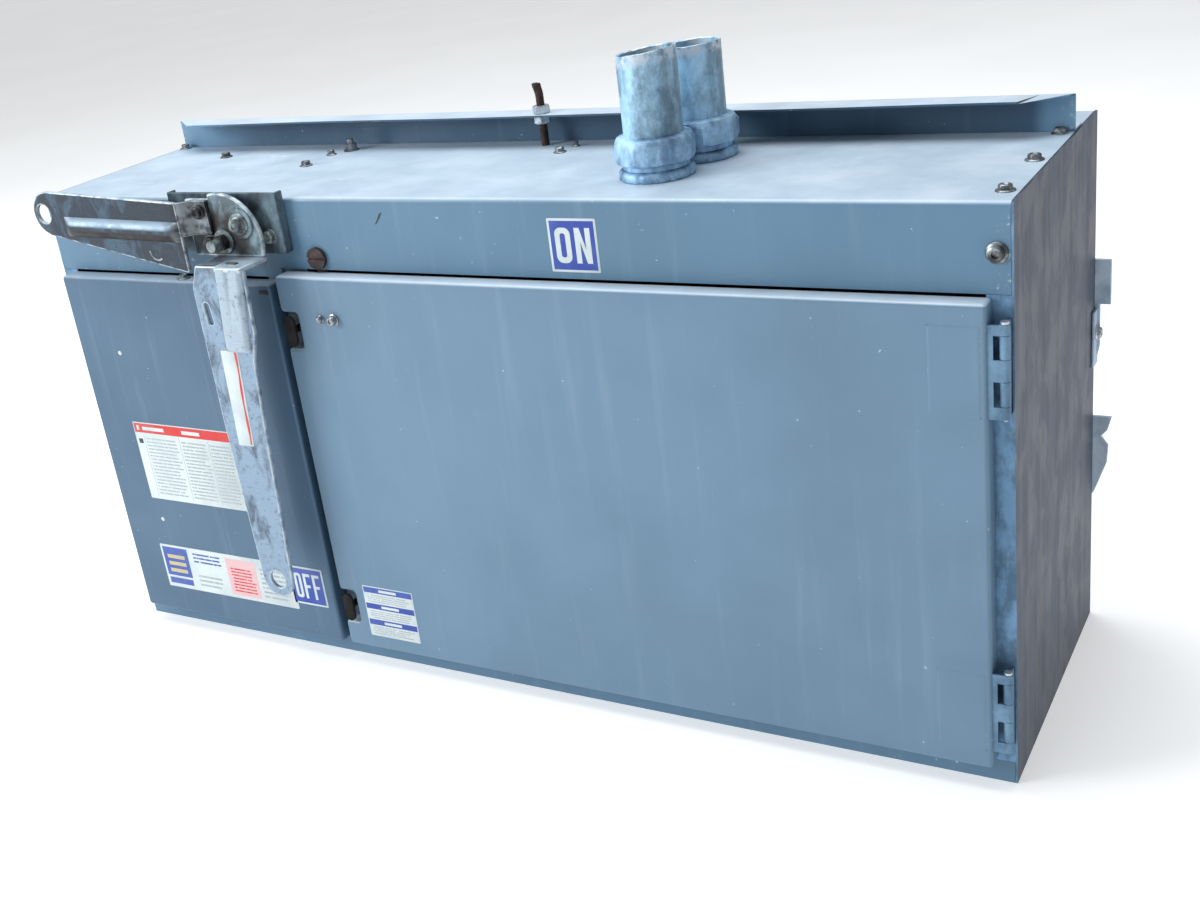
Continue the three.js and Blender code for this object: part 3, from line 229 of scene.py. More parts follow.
@dataclass
class Cast:
    """The surfaces of one piece, gathered before they become a mesh."""

    points: list[np.ndarray] = field(default_factory=list)
    faces: list[list[int]] = field(default_factory=list)
    dress: list[int] = field(default_factory=list)
    wear: list[np.ndarray] = field(default_factory=list)
    count: int = 0

    def add(
        self, points: np.ndarray, faces: np.ndarray, dress: int = 0, wear: float | np.ndarray = 0.0
    ) -> None:
        """Takes in points and faces.

        Args:
            points: corners, as (count, 3).
            faces: rows of corner numbers.
            dress: number of the finish.
            wear: how worn each point is, 0 to 1.
        """
        flat = points.reshape(-1, 3)
        self.points.append(flat)
        self.wear.append(np.broadcast_to(np.asarray(wear, float), len(flat)))
        self.faces += (np.asarray(faces) + self.count).tolist()
        self.dress += [dress] * len(faces)
        self.count += len(flat)

    def grid(
        self, surface: np.ndarray, wrap: bool = False, dress: int = 0, wear: float | np.ndarray = 0.0
    ) -> None:
        """Takes in a surface of rows and columns; wrap joins its last column to its first."""
        rows, cols = surface.shape[:2]
        index = np.arange(rows * cols).reshape(rows, cols)
        left = index if wrap else index[:, :-1]
        right = np.roll(index, -1, 1) if wrap else index[:, 1:]
        quads = np.stack([left[:-1], right[:-1], right[1:], left[1:]], -1).reshape(-1, 4)
        self.add(surface, quads, dress, wear)

    def plate(
        self,
        seat: Seat,
        loops: Sequence[tuple[np.ndarray, np.ndarray]],
        rows: np.ndarray,
        dress: int = 0,
    ) -> None:
        """A flat piece: its outlines carried through rows, closed by a cap at each end.

        A point is P - inset * N at the row's height.

        Args:
            seat: where the piece stands.
            loops: outer outline first, then its holes.
            rows: (inset, height, wear) from the first cap to the last.
            dress: number of the finish.
        """
        caps: tuple[list[np.ndarray], list[np.ndarray]] = ([], [])
        for points, normals in loops:
            wall = points[None] - rows[:, 0, None, None] * normals[None]
            height = np.broadcast_to(rows[:, 1, None], wall.shape[:2])
            surface = seat.lay(wall[..., 0], wall[..., 1], height)
            self.grid(surface, True, dress, np.repeat(rows[:, 2], len(points)))
            caps[0].append(wall[0])
            caps[1].append(wall[-1])
        for cap, row in zip(caps, (rows[0], rows[-1])):
            outline = [[Vector((p[0], p[1], 0)) for p in loop] for loop in cap]
            flat = np.vstack(cap)
            fill = np.array(tessellate_polygon(outline))
            self.add(seat.lay(flat[:, 0], flat[:, 1], np.full(len(flat), row[1])), fill, dress, row[2])

    def turned(
        self,
        seat: Seat,
        rows: Sequence[tuple[float, float, float]],
        sides: int = 48,
        facets: int = 6,
        turn: float = 0.0,
        dress: int = 0,
        wear: float = 0.0,
    ) -> None:
        """A profile carried round the outward axis.

        Row (round, across, height): r(a) = round, or a polygon's radius where
        across is more than 0, and never more than round where both are given.

        Args:
            seat: the axis.
            rows: the profile.
            sides: columns.
            facets: sides of the polygon.
            turn: the polygon's turn.
            dress: number of the finish.
            wear: how worn the piece is.
        """
        angle = np.linspace(0, 2 * np.pi, sides, endpoint=False)
        table = np.array(rows, float)
        flat = many_sided(angle, 2.0, facets, turn)[None] * table[:, 1, None] / 2
        circle = np.broadcast_to(table[:, 0, None], flat.shape)
        both = np.where(table[:, 0, None] > 0, np.minimum(circle, flat), flat)
        radius = np.where(table[:, 1, None] > 0, both, circle)
        surface = seat.lay(radius * np.cos(angle), radius * np.sin(angle), table[:, 2, None])
        self.grid(surface, True, dress, wear)

    def slabs(self, seat: Seat, spans: np.ndarray, dress: int = 0) -> None:
        """Thin blocks, one for each row (left, right, low, high, back, front) of spans."""
        spans = np.atleast_2d(np.array(spans, float))
        pick = np.array([(x, z, y) for y in (4, 5) for x, z in ((0, 2), (1, 2), (1, 3), (0, 3))])
        corner = spans[:, pick]
        sides = np.array([[0, 3, 2, 1], [4, 5, 6, 7], [0, 1, 5, 4], [1, 2, 6, 5], [2, 3, 7, 6], [3, 0, 4, 7]])
        faces = (np.arange(len(spans))[:, None, None] * 8 + sides[None]).reshape(-1, 4)
        self.add(seat.lay(corner[..., 0], corner[..., 1], corner[..., 2]), faces, dress)

    def piece(
        self,
        name: str,
        body: Body,
        finishes: Sequence["Finish"],
        replaces: Sequence[str] = (),
        sharp: float = SHARP,
    ) -> bpy.types.Object:
        """The finished object, on its body.

        Args:
            name: the piece's name.
            body: the body that it rides on.
            finishes: one for each dress number.
            replaces: CAD nodes that it stands for.
            sharp: the angle past which an edge stays sharp.

        Returns:
            The object.
        """
        mesh = bpy.data.meshes.new(name)
        mesh.from_pydata(np.vstack(self.points) * MM, [], self.faces)
        mesh.polygons.foreach_set("material_index", np.array(self.dress, np.int32))
        mesh.attributes.new("wear", "FLOAT", "POINT").data.foreach_set(
            "value", np.concatenate(self.wear).astype(np.float32)
        )
        welded(mesh)
        smoothed(mesh, sharp)
        for finish in finishes:
            mesh.materials.append(finish.material())
        item = placed(name, mesh)
        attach(item, body.value)
        if replaces:
            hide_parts(*replaces)
        LOG.info("%s: %d faces on %s", name, len(mesh.polygons), body.value)
        return item


class Brush:
    """The node tree of one material while it is put together."""

    def __init__(self, name: str) -> None:
        """Starts an empty tree with its shader."""
        self.made = bpy.data.materials.new(name)
        self.made.use_nodes = True
        self.tree = self.made.node_tree
        self.tree.nodes.clear()
        self.shader = self.tree.nodes.new("ShaderNodeBsdfPrincipled")
        output = self.tree.nodes.new("ShaderNodeOutputMaterial")
        self.tree.links.new(self.shader.outputs[0], output.inputs[0])

    def feed(self, target: Socket, value: object) -> None:
        """Links a socket, or writes a plain value into it."""
        if isinstance(value, bpy.types.NodeSocket):
            self.tree.links.new(value, target)
        elif isinstance(value, tuple) and len(value) == 3 and target.type == "RGBA":
            target.default_value = (*value, 1.0)
        else:
            target.default_value = value

    def node(self, kind: str, settings: Optional[dict] = None, **inputs: object) -> bpy.types.Node:
        """A node with its settings and inputs; an input is named as its socket, spaces as _."""
        made = self.tree.nodes.new("ShaderNode" + kind)
        for key, value in (settings or {}).items():
            setattr(made, key, value)
        for key, value in inputs.items():
            self.feed(made.inputs[key.replace("_", " ")], value)
        return made

    def place(self, stretch: tuple[float, float, float] = (1, 1, 1)) -> Socket:
        """Object coordinates, stretched."""
        spot = self.node("TexCoord").outputs["Object"]
        return self.node("Mapping", Vector=spot, Scale=stretch).outputs[0]

    def noise(
        self,
        scale: float,
        detail: float = 3.0,
        rough: float = 0.55,
        stretch: tuple[float, float, float] = (1, 1, 1),
        twist: float = 0.0,
    ) -> Socket:
        """Soft noise, scale in patches per metre."""
        spot = self.place(stretch)
        grain = {"Scale": scale, "Detail": detail, "Roughness": rough, "Distortion": twist}
        return self.node("TexNoise", Vector=spot, **grain).outputs[0]

    def cells(self, scale: float) -> Socket:
        """A number for each crystal-like cell."""
        return self.node("TexVoronoi", Vector=self.place(), Scale=scale).outputs["Color"]

    def span(
        self, value: Socket, low: float, high: float, to_low: float = 0.0, to_high: float = 1.0
    ) -> Socket:
        """A value carried smoothly from one range to another, and held at its ends."""
        made = self.node("MapRange", {"interpolation_type": "SMOOTHSTEP"}, Value=value)
        for key, number in zip(("From Min", "From Max", "To Min", "To Max"), (low, high, to_low, to_high)):
            made.inputs[key].default_value = number
        return made.outputs[0]

    def maths(self, what: str, first: object, second: object = 0.0) -> Socket:
        """One sum, held between 0 and 1."""
        made = self.node("Math", {"operation": what, "use_clamp": True})
        self.feed(made.inputs[0], first)
        self.feed(made.inputs[1], second)
        return made.outputs[0]

    def mix(self, share: object, first: object, second: object) -> Socket:
        """Two colours mixed by a share."""
        made = self.node("Mix", {"data_type": "RGBA"})
        for number, value in zip((0, 6, 7), (share, first, second)):
            self.feed(made.inputs[number], value)
        return made.outputs[2]

    def worn(self) -> Socket:
        """The wear written on the mesh: 1 on an edge, 0 on a face."""
        return self.node("Attribute", {"attribute_name": "wear"}).outputs["Fac"]

    def looking(self, axis: str) -> Socket:
        """How far the surface looks along an axis, -1 to 1."""
        normal = self.node("NewGeometry").outputs["Normal"]
        return self.node("SeparateXYZ", Vector=normal).outputs[axis]

    def near(self, spot: tuple[float, float, float], inner: float, outer: float) -> Socket:
        """1 within inner metres of a spot, 0 past outer."""
        away = self.node("VectorMath", {"operation": "DISTANCE"})
        self.tree.links.new(self.place(), away.inputs[0])
        away.inputs[1].default_value = spot
        return self.span(away.outputs["Value"], inner, outer, 1.0, 0.0)

    def done(
        self,
        colour: object,
        rough: object,
        metal: float,
        relief: Optional[Socket] = None,
        depth: float = 0.0,
    ) -> bpy.types.Material:
        """Joins everything to the shader.

        Args:
            colour: base colour.
            rough: roughness.
            metal: metallic share.
            relief: height of the surface's grain, 0 to 1.
            depth: the grain's depth in metres.

        Returns:
            The material.
        """
        self.feed(self.shader.inputs["Base Color"], colour)
        self.feed(self.shader.inputs["Roughness"], rough)
        self.shader.inputs["Metallic"].default_value = metal
        if relief is not None:
            bump = self.node("Bump", Height=relief, Distance=depth)
            self.tree.links.new(bump.outputs[0], self.shader.inputs["Normal"])
        return self.made


@dataclass(frozen=True)
class Finish:
    """What every finish shares: one material for each name."""

    name: str

    def material(self) -> bpy.types.Material:
        """The finish's material, made once."""
        return bpy.data.materials.get(self.name) or self.mixed(Brush(self.name))

    def mixed(self, brush: Brush) -> bpy.types.Material:
        """The nodes of this finish."""
        raise NotImplementedError


@dataclass(frozen=True)
class Enamel(Finish):
    """Blue-grey enamel on sheet steel: clouds, runs, dust and painted skylight on top, orange peel."""

    base: Colour = tone(128, 160, 184)
    dust: Colour = tone(204, 218, 230)
    bare: Colour = tone(176, 188, 196)
    # share of dust and painted skylight on faces that look up
    dust_and_skylight: float = 0.7
    # colour where the lip stops; the darker base between is painted shade
    ends: Optional[Colour] = None

    def mixed(self, brush: Brush) -> bpy.types.Material:
        """Clouds and vertical runs shift the base; where it looks up, the dust colour comes in as real dust
        and as painted skylight.

        With ends given, the base turns to that colour at both ends of the box; the darker base between them
        is painted shade under the flange's lip.
        """
        darker = tuple(0.88 * v for v in self.base)
        clouds = brush.span(brush.noise(4.5, 5.0), 0.35, 0.7)
        colour = brush.mix(clouds, self.base, darker)
        # Painted shade: the base stays dark along the middle, where the lip shades the web, and turns light
        # at the ends.
        if self.ends is not None:
            along = brush.node("SeparateXYZ", Vector=brush.place()).outputs["X"]
            colour = brush.mix(brush.span(along, 0.498, 0.516), colour, self.ends)
            colour = brush.mix(brush.span(along, -0.5, -0.4, 1.0, 0.0), colour, self.ends)
        runs = brush.span(brush.noise(5.0, 4.0, 0.6, (11.0, 11.0, 0.7)), 0.52, 0.85, 0.0, 0.09)
        colour = brush.mix(runs, colour, self.dust)
        # Faces that look up are lightened with the dust colour: partly real dust, partly painted skylight.
        up = brush.span(brush.looking("Z"), 0.3, 0.9)
        dust_and_skylight = brush.span(
            brush.noise(14.0, 6.0, 0.65), 0.3, 0.75, self.dust_and_skylight - 0.12, self.dust_and_skylight + 0.12
        )
        colour = brush.mix(brush.maths("MULTIPLY", up, dust_and_skylight), colour, self.dust)
        spots = brush.span(brush.noise(160.0, 2.0), 0.74, 0.78, 0.0, 0.55)
        colour = brush.mix(spots, colour, self.dust)
        chips = brush.span(brush.noise(230.0, 3.0), 0.56, 0.64)
        colour = brush.mix(brush.maths("MULTIPLY", brush.worn(), chips), colour, self.bare)
        rough = brush.span(brush.noise(9.0, 5.0), 0.3, 0.7, 0.36, 0.52)
        peel = brush.noise(420.0, 2.0)
        return brush.done(colour, rough, 0.0, peel, 0.00008)


@dataclass(frozen=True)
class Galvanised(Finish):
    """Weathered zinc sheet: spangle, stains and, where asked, vertical runs of painted reflection."""

    pale: Colour = tone(172, 186, 200)
    deep: Colour = tone(104, 116, 130)
    stain_and_reflection: Colour = tone(112, 98, 96)
    reflection_streaks: float = 0.0
    stain_and_reflection_share: float = 0.35
    facing: Optional[Colour] = None

    def mixed(self, brush: Brush) -> bpy.types.Material:
        """Cells and noise mix pale with deep; vertical runs of painted reflection go up the sheet."""
        spangle = brush.span(brush.cells(210.0), 0.1, 0.9)
        bloom = brush.span(brush.noise(30.0, 8.0, 0.7, (1.0, 1.0, 0.6)), 0.36, 0.64)
        share = brush.maths(
            "ADD", brush.maths("MULTIPLY", spangle, 0.12), brush.maths("MULTIPLY", bloom, 0.8)
        )
        colour = brush.mix(share, self.deep, self.pale)
        # Painted reflection: vertical lines, darker and then lighter, as strong as asked.
        lines = brush.noise(16.0, 5.0, 0.6, (4.5, 4.5, 0.1), 0.15)
        colour = brush.mix(brush.span(lines, 0.38, 0.62, 0.0, self.reflection_streaks), colour, self.deep)
        fine = brush.noise(60.0, 3.0, 0.6, (7.0, 7.0, 0.12))
        colour = brush.mix(brush.span(fine, 0.45, 0.7, 0.0, self.reflection_streaks * 0.7), colour, self.pale)
        # Tall patches of the second colour: real stains on most sheets, painted reflections of the
        # surroundings on the end plates.
        stained_and_reflected = brush.span(brush.noise(11.0, 4.0, 0.6, (3.2, 3.2, 0.22)), 0.5, 0.72, 0.0, self.stain_and_reflection_share)
        colour = brush.mix(stained_and_reflected, colour, self.stain_and_reflection)
        if self.facing is not None:
            mottled = brush.span(brush.noise(70.0, 5.0, 0.65, (1.0, 1.0, 0.5)), 0.38, 0.62)
            sheet = brush.mix(mottled, self.facing, tuple(0.55 * v for v in self.facing))
            colour = brush.mix(brush.span(brush.looking("Y"), -0.9, -0.4, 1.0, 0.0), colour, sheet)
        bright = brush.maths("MULTIPLY", brush.worn(), brush.span(brush.noise(120.0), 0.4, 0.6))
        colour = brush.mix(bright, colour, tone(196, 208, 218))
        rough = brush.span(bloom, 0.0, 1.0, 0.46, 0.62)
        return brush.done(colour, rough, 0.45, brush.noise(190.0, 4.0), 0.00022)


@dataclass(frozen=True)
class HandledSteel(Finish):
    """Steel that hands and weather have worn: chalky bloom, grease, bright edges."""

    chalk: Colour = tone(200, 208, 216)
    steel: Colour = tone(136, 144, 152)
    grease: Colour = tone(46, 44, 44)
    chalked: float = 0.6
    greased: tuple[float, float, float] = (-0.256, -0.19, 0.502)
    grease_reach: float = 0.06
    # share of painted shade on faces that look down and painted light on faces that look up
    painted_light_and_shade: float = 0.0

    def mixed(self, brush: Brush) -> bpy.types.Material:
        """Chalk comes in patches and grease round the pivot; where asked, faces that look down are painted
        dark as shade and faces that look up are painted light.
        """
        patches = brush.noise(34.0, 7.0, 0.68, (1.0, 1.0, 0.6), 0.6)
        edge = 0.72 - 0.4 * self.chalked
        colour = brush.mix(brush.span(patches, edge - 0.09, edge + 0.07), self.steel, self.chalk)
        pits = brush.span(brush.noise(210.0, 4.0, 0.7), 0.56, 0.68, 0.0, 0.55)
        colour = brush.mix(pits, colour, tuple(0.5 * v for v in self.steel))
        scratch = brush.span(brush.noise(30.0, 3.0, 0.6, (1.2, 1.2, 24.0)), 0.56, 0.66, 0.0, 0.35)
        colour = brush.mix(scratch, colour, tuple(0.62 * v for v in self.chalk))
        # Painted shade on faces that look down, painted light on faces that look up.
        under = brush.span(brush.looking("Z"), -0.4, 0.0, self.painted_light_and_shade, 0.0)
        colour = brush.mix(under, colour, tone(28, 22, 24))
        upper = brush.span(brush.looking("Z"), 0.1, 0.6, 0.0, self.painted_light_and_shade)
        colour = brush.mix(upper, colour, tone(146, 166, 182))
        round_pivot = brush.near(self.greased, 0.5 * self.grease_reach, self.grease_reach)
        smear = brush.maths("MULTIPLY", round_pivot, brush.span(brush.noise(55.0, 5.0), 0.34, 0.6, 0.35, 1.0))
        colour = brush.mix(smear, colour, self.grease)
        bright = brush.maths("MULTIPLY", brush.worn(), brush.span(brush.noise(90.0), 0.35, 0.6, 0.1, 0.7))
        colour = brush.mix(bright, colour, tone(206, 216, 222))
        rough = brush.span(patches, 0.35, 0.65, 0.38, 0.62)
        return brush.done(colour, rough, 0.4, brush.noise(260.0, 5.0, 0.65), 0.0003)


@dataclass(frozen=True)
class PlainMetal(Finish):
    """Small hardware: a base, a tarnish that creeps over it and a fine grain."""

    base: Colour = tone(190, 192, 190)
    tarnish: Colour = tone(104, 100, 92)
    spread: float = 0.5
    rough: float = 0.38
    metal: float = 0.85
    grain: float = 0.00012

    def mixed(self, brush: Brush) -> bpy.types.Material:
        """Tarnish in patches and in speckles, bright on worn edges."""
        patches = brush.noise(85.0, 6.0, 0.65)
        edge = 0.75 - 0.5 * self.spread
        colour = brush.mix(brush.span(patches, edge - 0.1, edge + 0.12), self.base, self.tarnish)
        speckle = brush.span(brush.noise(520.0, 3.0), 0.55, 0.7, 0.0, 0.5)
        colour = brush.mix(speckle, colour, self.tarnish)
        light = tuple(min(1.0, 1.25 * v) for v in self.base)
        colour = brush.mix(brush.maths("MULTIPLY", brush.worn(), 0.6), colour, light)
        rough = brush.span(patches, 0.3, 0.7, self.rough - 0.08, self.rough + 0.18)
        return brush.done(colour, rough, self.metal, brush.noise(400.0, 4.0), self.grain)


@dataclass(frozen=True)
class Moulded(Finish):
    """Moulded or wound insulation: flow marks, dust and a fine pebble."""

    base: Colour = tone(120, 52, 44)
    light: Colour = tone(150, 84, 70)
    rough: float = 0.55
    stretch: tuple[float, float, float] = (1.0, 1.0, 1.0)

    def mixed(self, brush: Brush) -> bpy.types.Material:
        """Flow marks mix light into the base."""
        flow = brush.span(brush.noise(40.0, 5.0, 0.6, self.stretch, 0.8), 0.4, 0.7)
        colour = brush.mix(flow, self.base, self.light)
        dust = brush.span(brush.looking("Z"), 0.5, 1.0, 0.0, 0.35)
        colour = brush.mix(dust, colour, tone(170, 165, 158))
        rough = brush.span(flow, 0.0, 1.0, self.rough - 0.08, self.rough + 0.1)
        return brush.done(colour, rough, 0.0, brush.noise(300.0, 3.0), 0.0002)


@dataclass(frozen=True)
class Printed(Finish):
    """Ink or paper stock of a sticker: faded unevenly, with grime in its edges."""

    ink: Colour = tone(226, 230, 228)
    grime: Colour = tone(168, 176, 180)
    rough: float = 0.42

    def mixed(self, brush: Brush) -> bpy.types.Material:
        """Fading in clouds and specks of grime."""
        faded = brush.span(brush.noise(24.0, 5.0), 0.38, 0.72, 0.0, 0.45)
        colour = brush.mix(faded, self.ink, self.grime)
        specks = brush.span(brush.noise(380.0, 3.0), 0.6, 0.72, 0.0, 0.5)
        colour = brush.mix(specks, colour, self.grime)
        rough = brush.span(brush.noise(60.0), 0.3, 0.7, self.rough - 0.06, self.rough + 0.12)
        return brush.done(colour, rough, 0.0, brush.noise(240.0), 0.00006)


@dataclass(frozen=True)
class Backing(Finish):
    """The pale floor: a plain colour with the faintest mottle."""

    base: Colour = tone(240, 240, 240)
    glow: float = 0.45

    def mixed(self, brush: Brush) -> bpy.types.Material:
        """A faint mottle in colour, glowing a little as a lit backdrop does."""
        share = brush.span(brush.noise(2.0), 0.3, 0.7)
        colour = brush.mix(share, self.base, tuple(0.97 * v for v in self.base))
        brush.feed(brush.shader.inputs["Emission Color"], colour)
        brush.shader.inputs["Emission Strength"].default_value = self.glow
        return brush.done(colour, 0.8, 0.0)


PAINT = Enamel("blue_grey_enamel", base=tone(91, 127, 153))
# A lighter copy of the enamel: painted light, the glare on the door; the weld prints take it too.
LIT_DOOR_PAINT = Enamel("door_enamel_painted_light", base=tone(102, 133, 157), dust_and_skylight=0.9)
# A darker copy of the enamel: painted shade on the cover, deepening the arm's shadow and the dimmer left of
# the front.
SHADED_COVER_PAINT = Enamel("cover_enamel_painted_shade", base=tone(70, 101, 127), dust_and_skylight=0.5)
# The flange's dark base is painted shade under its lip; its lighter ends stand where no lip shades it.
SHADED_FLANGE_PAINT = Enamel("flange_enamel_painted_shade", base=tone(60, 92, 117), dust_and_skylight=0.85, ends=tone(104, 142, 170))
SHEET_ZINC = Galvanised("galvanised_sheet", pale=tone(150, 168, 184), deep=tone(88, 102, 118))
# The end plates: their vertical runs and violet patches are painted reflections of the surroundings.
END_ZINC = Galvanised(
    "reflection_streaked_galvanised",
    pale=tone(98, 108, 124),
    deep=tone(64, 68, 82),
    stain_and_reflection=tone(82, 76, 84),
    reflection_streaks=0.6,
    stain_and_reflection_share=0.45,
    facing=tone(116, 156, 190),
)
TUBE_ZINC = Galvanised(
    "weathered_tube",
    pale=tone(188, 230, 255),
    deep=tone(100, 130, 152),
    stain_and_reflection=tone(92, 84, 76),
    stain_and_reflection_share=0.5,
)
CAST_ZINC = Galvanised("cast_zinc", pale=tone(190, 228, 255), deep=tone(98, 130, 162), stain_and_reflection_share=0.1)
LONG_ARM_STEEL = HandledSteel(
    "chalky_arm",
    chalk=tone(138, 160, 180),
    steel=tone(84, 100, 116),
    grease=tone(96, 104, 112),
    chalked=0.72,
    grease_reach=0.05,
)
CHANNEL_STEEL = HandledSteel(
    "chalky_channel",
    chalk=tone(166, 182, 194),
    steel=tone(112, 128, 140),
    grease=tone(120, 124, 126),
    chalked=0.85,
    grease_reach=0.04,
)
CHANNEL_FOOT_LINE = Printed("channel_foot_line", ink=tone(62, 68, 78), grime=tone(104, 116, 130), rough=0.6)
# The ON arm takes painted shade on its downward faces and painted light on its upward faces.
SHORT_ARM_STEEL = HandledSteel(
    "worn_arm",
    chalk=tone(74, 94, 112),
    steel=tone(46, 56, 66),
    grease=tone(34, 34, 36),
    chalked=0.42,
    painted_light_and_shade=1.0,
    greased=(-0.277, -0.192, 0.518),
    grease_reach=0.05,
)
SECTOR_STEEL = HandledSteel(
    "sector_steel", chalk=tone(142, 166, 176), steel=tone(88, 102, 110), chalked=0.55, grease_reach=0.05
)
BRACKET_STEEL = Galvanised(
    "bracket_zinc", pale=tone(112, 134, 146), deep=tone(46, 56, 64), stain_and_reflection=tone(50, 48, 48), stain_and_reflection_share=0.5
)
HINGE_ZINC = Galvanised("hinge_zinc", pale=tone(120, 154, 180), deep=tone(74, 104, 130), stain_and_reflection_share=0.1)
PLATE_ZINC = Galvanised("plate_zinc", pale=tone(206, 222, 236), deep=tone(150, 170, 190), stain_and_reflection_share=0.15)
SHADED_STEEL = HandledSteel(
    "shaded_slot", chalk=tone(110, 116, 120), steel=tone(70, 72, 76), chalked=0.4, grease_reach=0.02
)
BOLT_STEEL = PlainMetal(
    "bolt_steel", base=tone(142, 154, 156), tarnish=tone(78, 84, 86), spread=0.5, rough=0.4, metal=0.55
)
DARK_STEEL = PlainMetal(
    "greased_steel", base=tone(70, 70, 72), tarnish=tone(28, 27, 28), spread=0.6, rough=0.42, metal=0.5
)
SCREW_ZINC = PlainMetal(
    "screw_zinc", base=tone(196, 200, 204), tarnish=tone(128, 124, 120), spread=0.35, rough=0.34
)
STUD_ZINC = PlainMetal(
    "stud_zinc", base=tone(150, 156, 160), tarnish=tone(84, 84, 86), spread=0.5, rough=0.38
)
PIN_ZINC = PlainMetal(
    "pin_zinc", base=tone(196, 204, 210), tarnish=tone(120, 124, 126), spread=0.3, rough=0.34
)
RUST = PlainMetal(
    "rust_scale",
    base=tone(66, 44, 38),
    tarnish=tone(34, 24, 22),
    spread=0.5,
    rough=0.62,
    metal=0.3,
    grain=0.0004,
)
LATCH_RUST = PlainMetal(
    "latch_scale",
    base=tone(13, 9, 9),
    tarnish=tone(6, 4, 4),
    spread=0.6,
    rough=0.85,
    metal=0.0,
    grain=0.0003,
)
OLD_BRASS = PlainMetal(
    "dull_brass", base=tone(92, 72, 64), tarnish=tone(54, 42, 40), spread=0.7, rough=0.55, metal=0.2
)
COPPER = PlainMetal(
    "tarnished_copper", base=tone(196, 130, 98), tarnish=tone(120, 74, 56), spread=0.4, rough=0.34
)
CAP_BRASS = PlainMetal(
    "fuse_cap", base=tone(198, 170, 110), tarnish=tone(140, 112, 70), spread=0.3, rough=0.32
)
BOARD = Moulded("moulded_board")
FUSE_TUBE = Moulded(
    "wound_tube", base=tone(196, 178, 140), light=tone(218, 204, 172), rough=0.5, stretch=(6.0, 1.0, 1.0)
)
STOCK = Printed("label_stock", ink=tone(206, 216, 216), grime=tone(160, 176, 180))
INK_RED = Printed("ink_red", ink=tone(206, 36, 34), grime=tone(180, 96, 92))
INK_BLUE = Printed("ink_blue", ink=tone(38, 66, 158), grime=tone(92, 116, 178))
INK_GREY = Printed("ink_grey", ink=tone(158, 166, 172), grime=tone(184, 190, 194))
INK_PINK = Printed("ink_pink", ink=tone(218, 178, 180), grime=tone(214, 196, 196))
INK_YELLOW = Printed("ink_ochre", ink=tone(196, 182, 128), grime=tone(176, 170, 140))
INK_BLACK = Printed("ink_dark", ink=tone(34, 38, 46), grime=tone(84, 88, 94))


def box_mm(node: str) -> tuple[np.ndarray, np.ndarray]:
    """Lowest and highest corner of a CAD node, in millimetres."""
    low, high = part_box(node)
    return np.array(low) / MM, np.array(high) / MM


def redress(finish: Finish, *nodes: str) -> None:
    """Gives CAD nodes a finish; their shape stays."""
    for node in nodes:
        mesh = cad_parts[node].data
        mesh.materials.clear()
        mesh.materials.append(finish.material())
        LOG.info("%s: dressed in %s", node, finish.name)


def softened(node: str, body: Body, finish: Finish, width: float = 0.5) -> bpy.types.Object:
    """A CAD node with its edges eased: its mesh is copied, merged and bevelled.

    Args:
        node: the CAD node.
        body: its body.
        finish: its finish.
        width: the bevel in millimetres.

    Returns:
        The piece that stands for the node.
    """
    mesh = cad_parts[node].data.copy()
    mesh.name = node + "_eased"
    welded(mesh, outward=False)
    mesh.materials.clear()
    mesh.materials.append(finish.material())
    smoothed(mesh)
    item = placed(node + "_eased", mesh)
    ease = item.modifiers.new("ease", "BEVEL")
    ease.width = width * MM
    ease.segments = 2
    ease.limit_method = "ANGLE"
    ease.angle_limit = EASED
    ease.harden_normals = False
    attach(item, body.value)
    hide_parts(node)
    LOG.info("%s: eased", item.name)
    return item


def hex_screw(
    cast: Cast, seat: Seat, across: float, washer: float, tall: float = 5.0, turn: float = 0.3,
    dress: int = 0,
) -> None:
    """A washer-faced hexagon head, domed on top and hollowed in its middle.

    Args:
        cast: the piece that takes it in.
        seat: the middle of its washer's underside.
        across: across the flats.
        washer: the washer's radius.
        tall: the whole height.
        turn: the hexagon's turn.
        dress: number of the finish.
    """
    half = across / 2
    rows = [
        (0, 0, tall - 1.4),
        (half * 0.45, 0, tall - 1.4),
        (half * 0.62, 0, tall - 0.3),
        (half * 0.86, across, tall),
        (half * 1.05, across, tall - 0.5),
        (0, across, tall - 1.3),
        (0, across, 1.9),
        (half * 1.2, 0, 1.6),
        (washer - 0.8, 0, 1.3),
        (washer, 0, 0.8),
        (washer, 0, 0.0),
        (0, 0, 0.0),
    ]
    cast.turned(seat, rows, 48, 6, turn, dress)


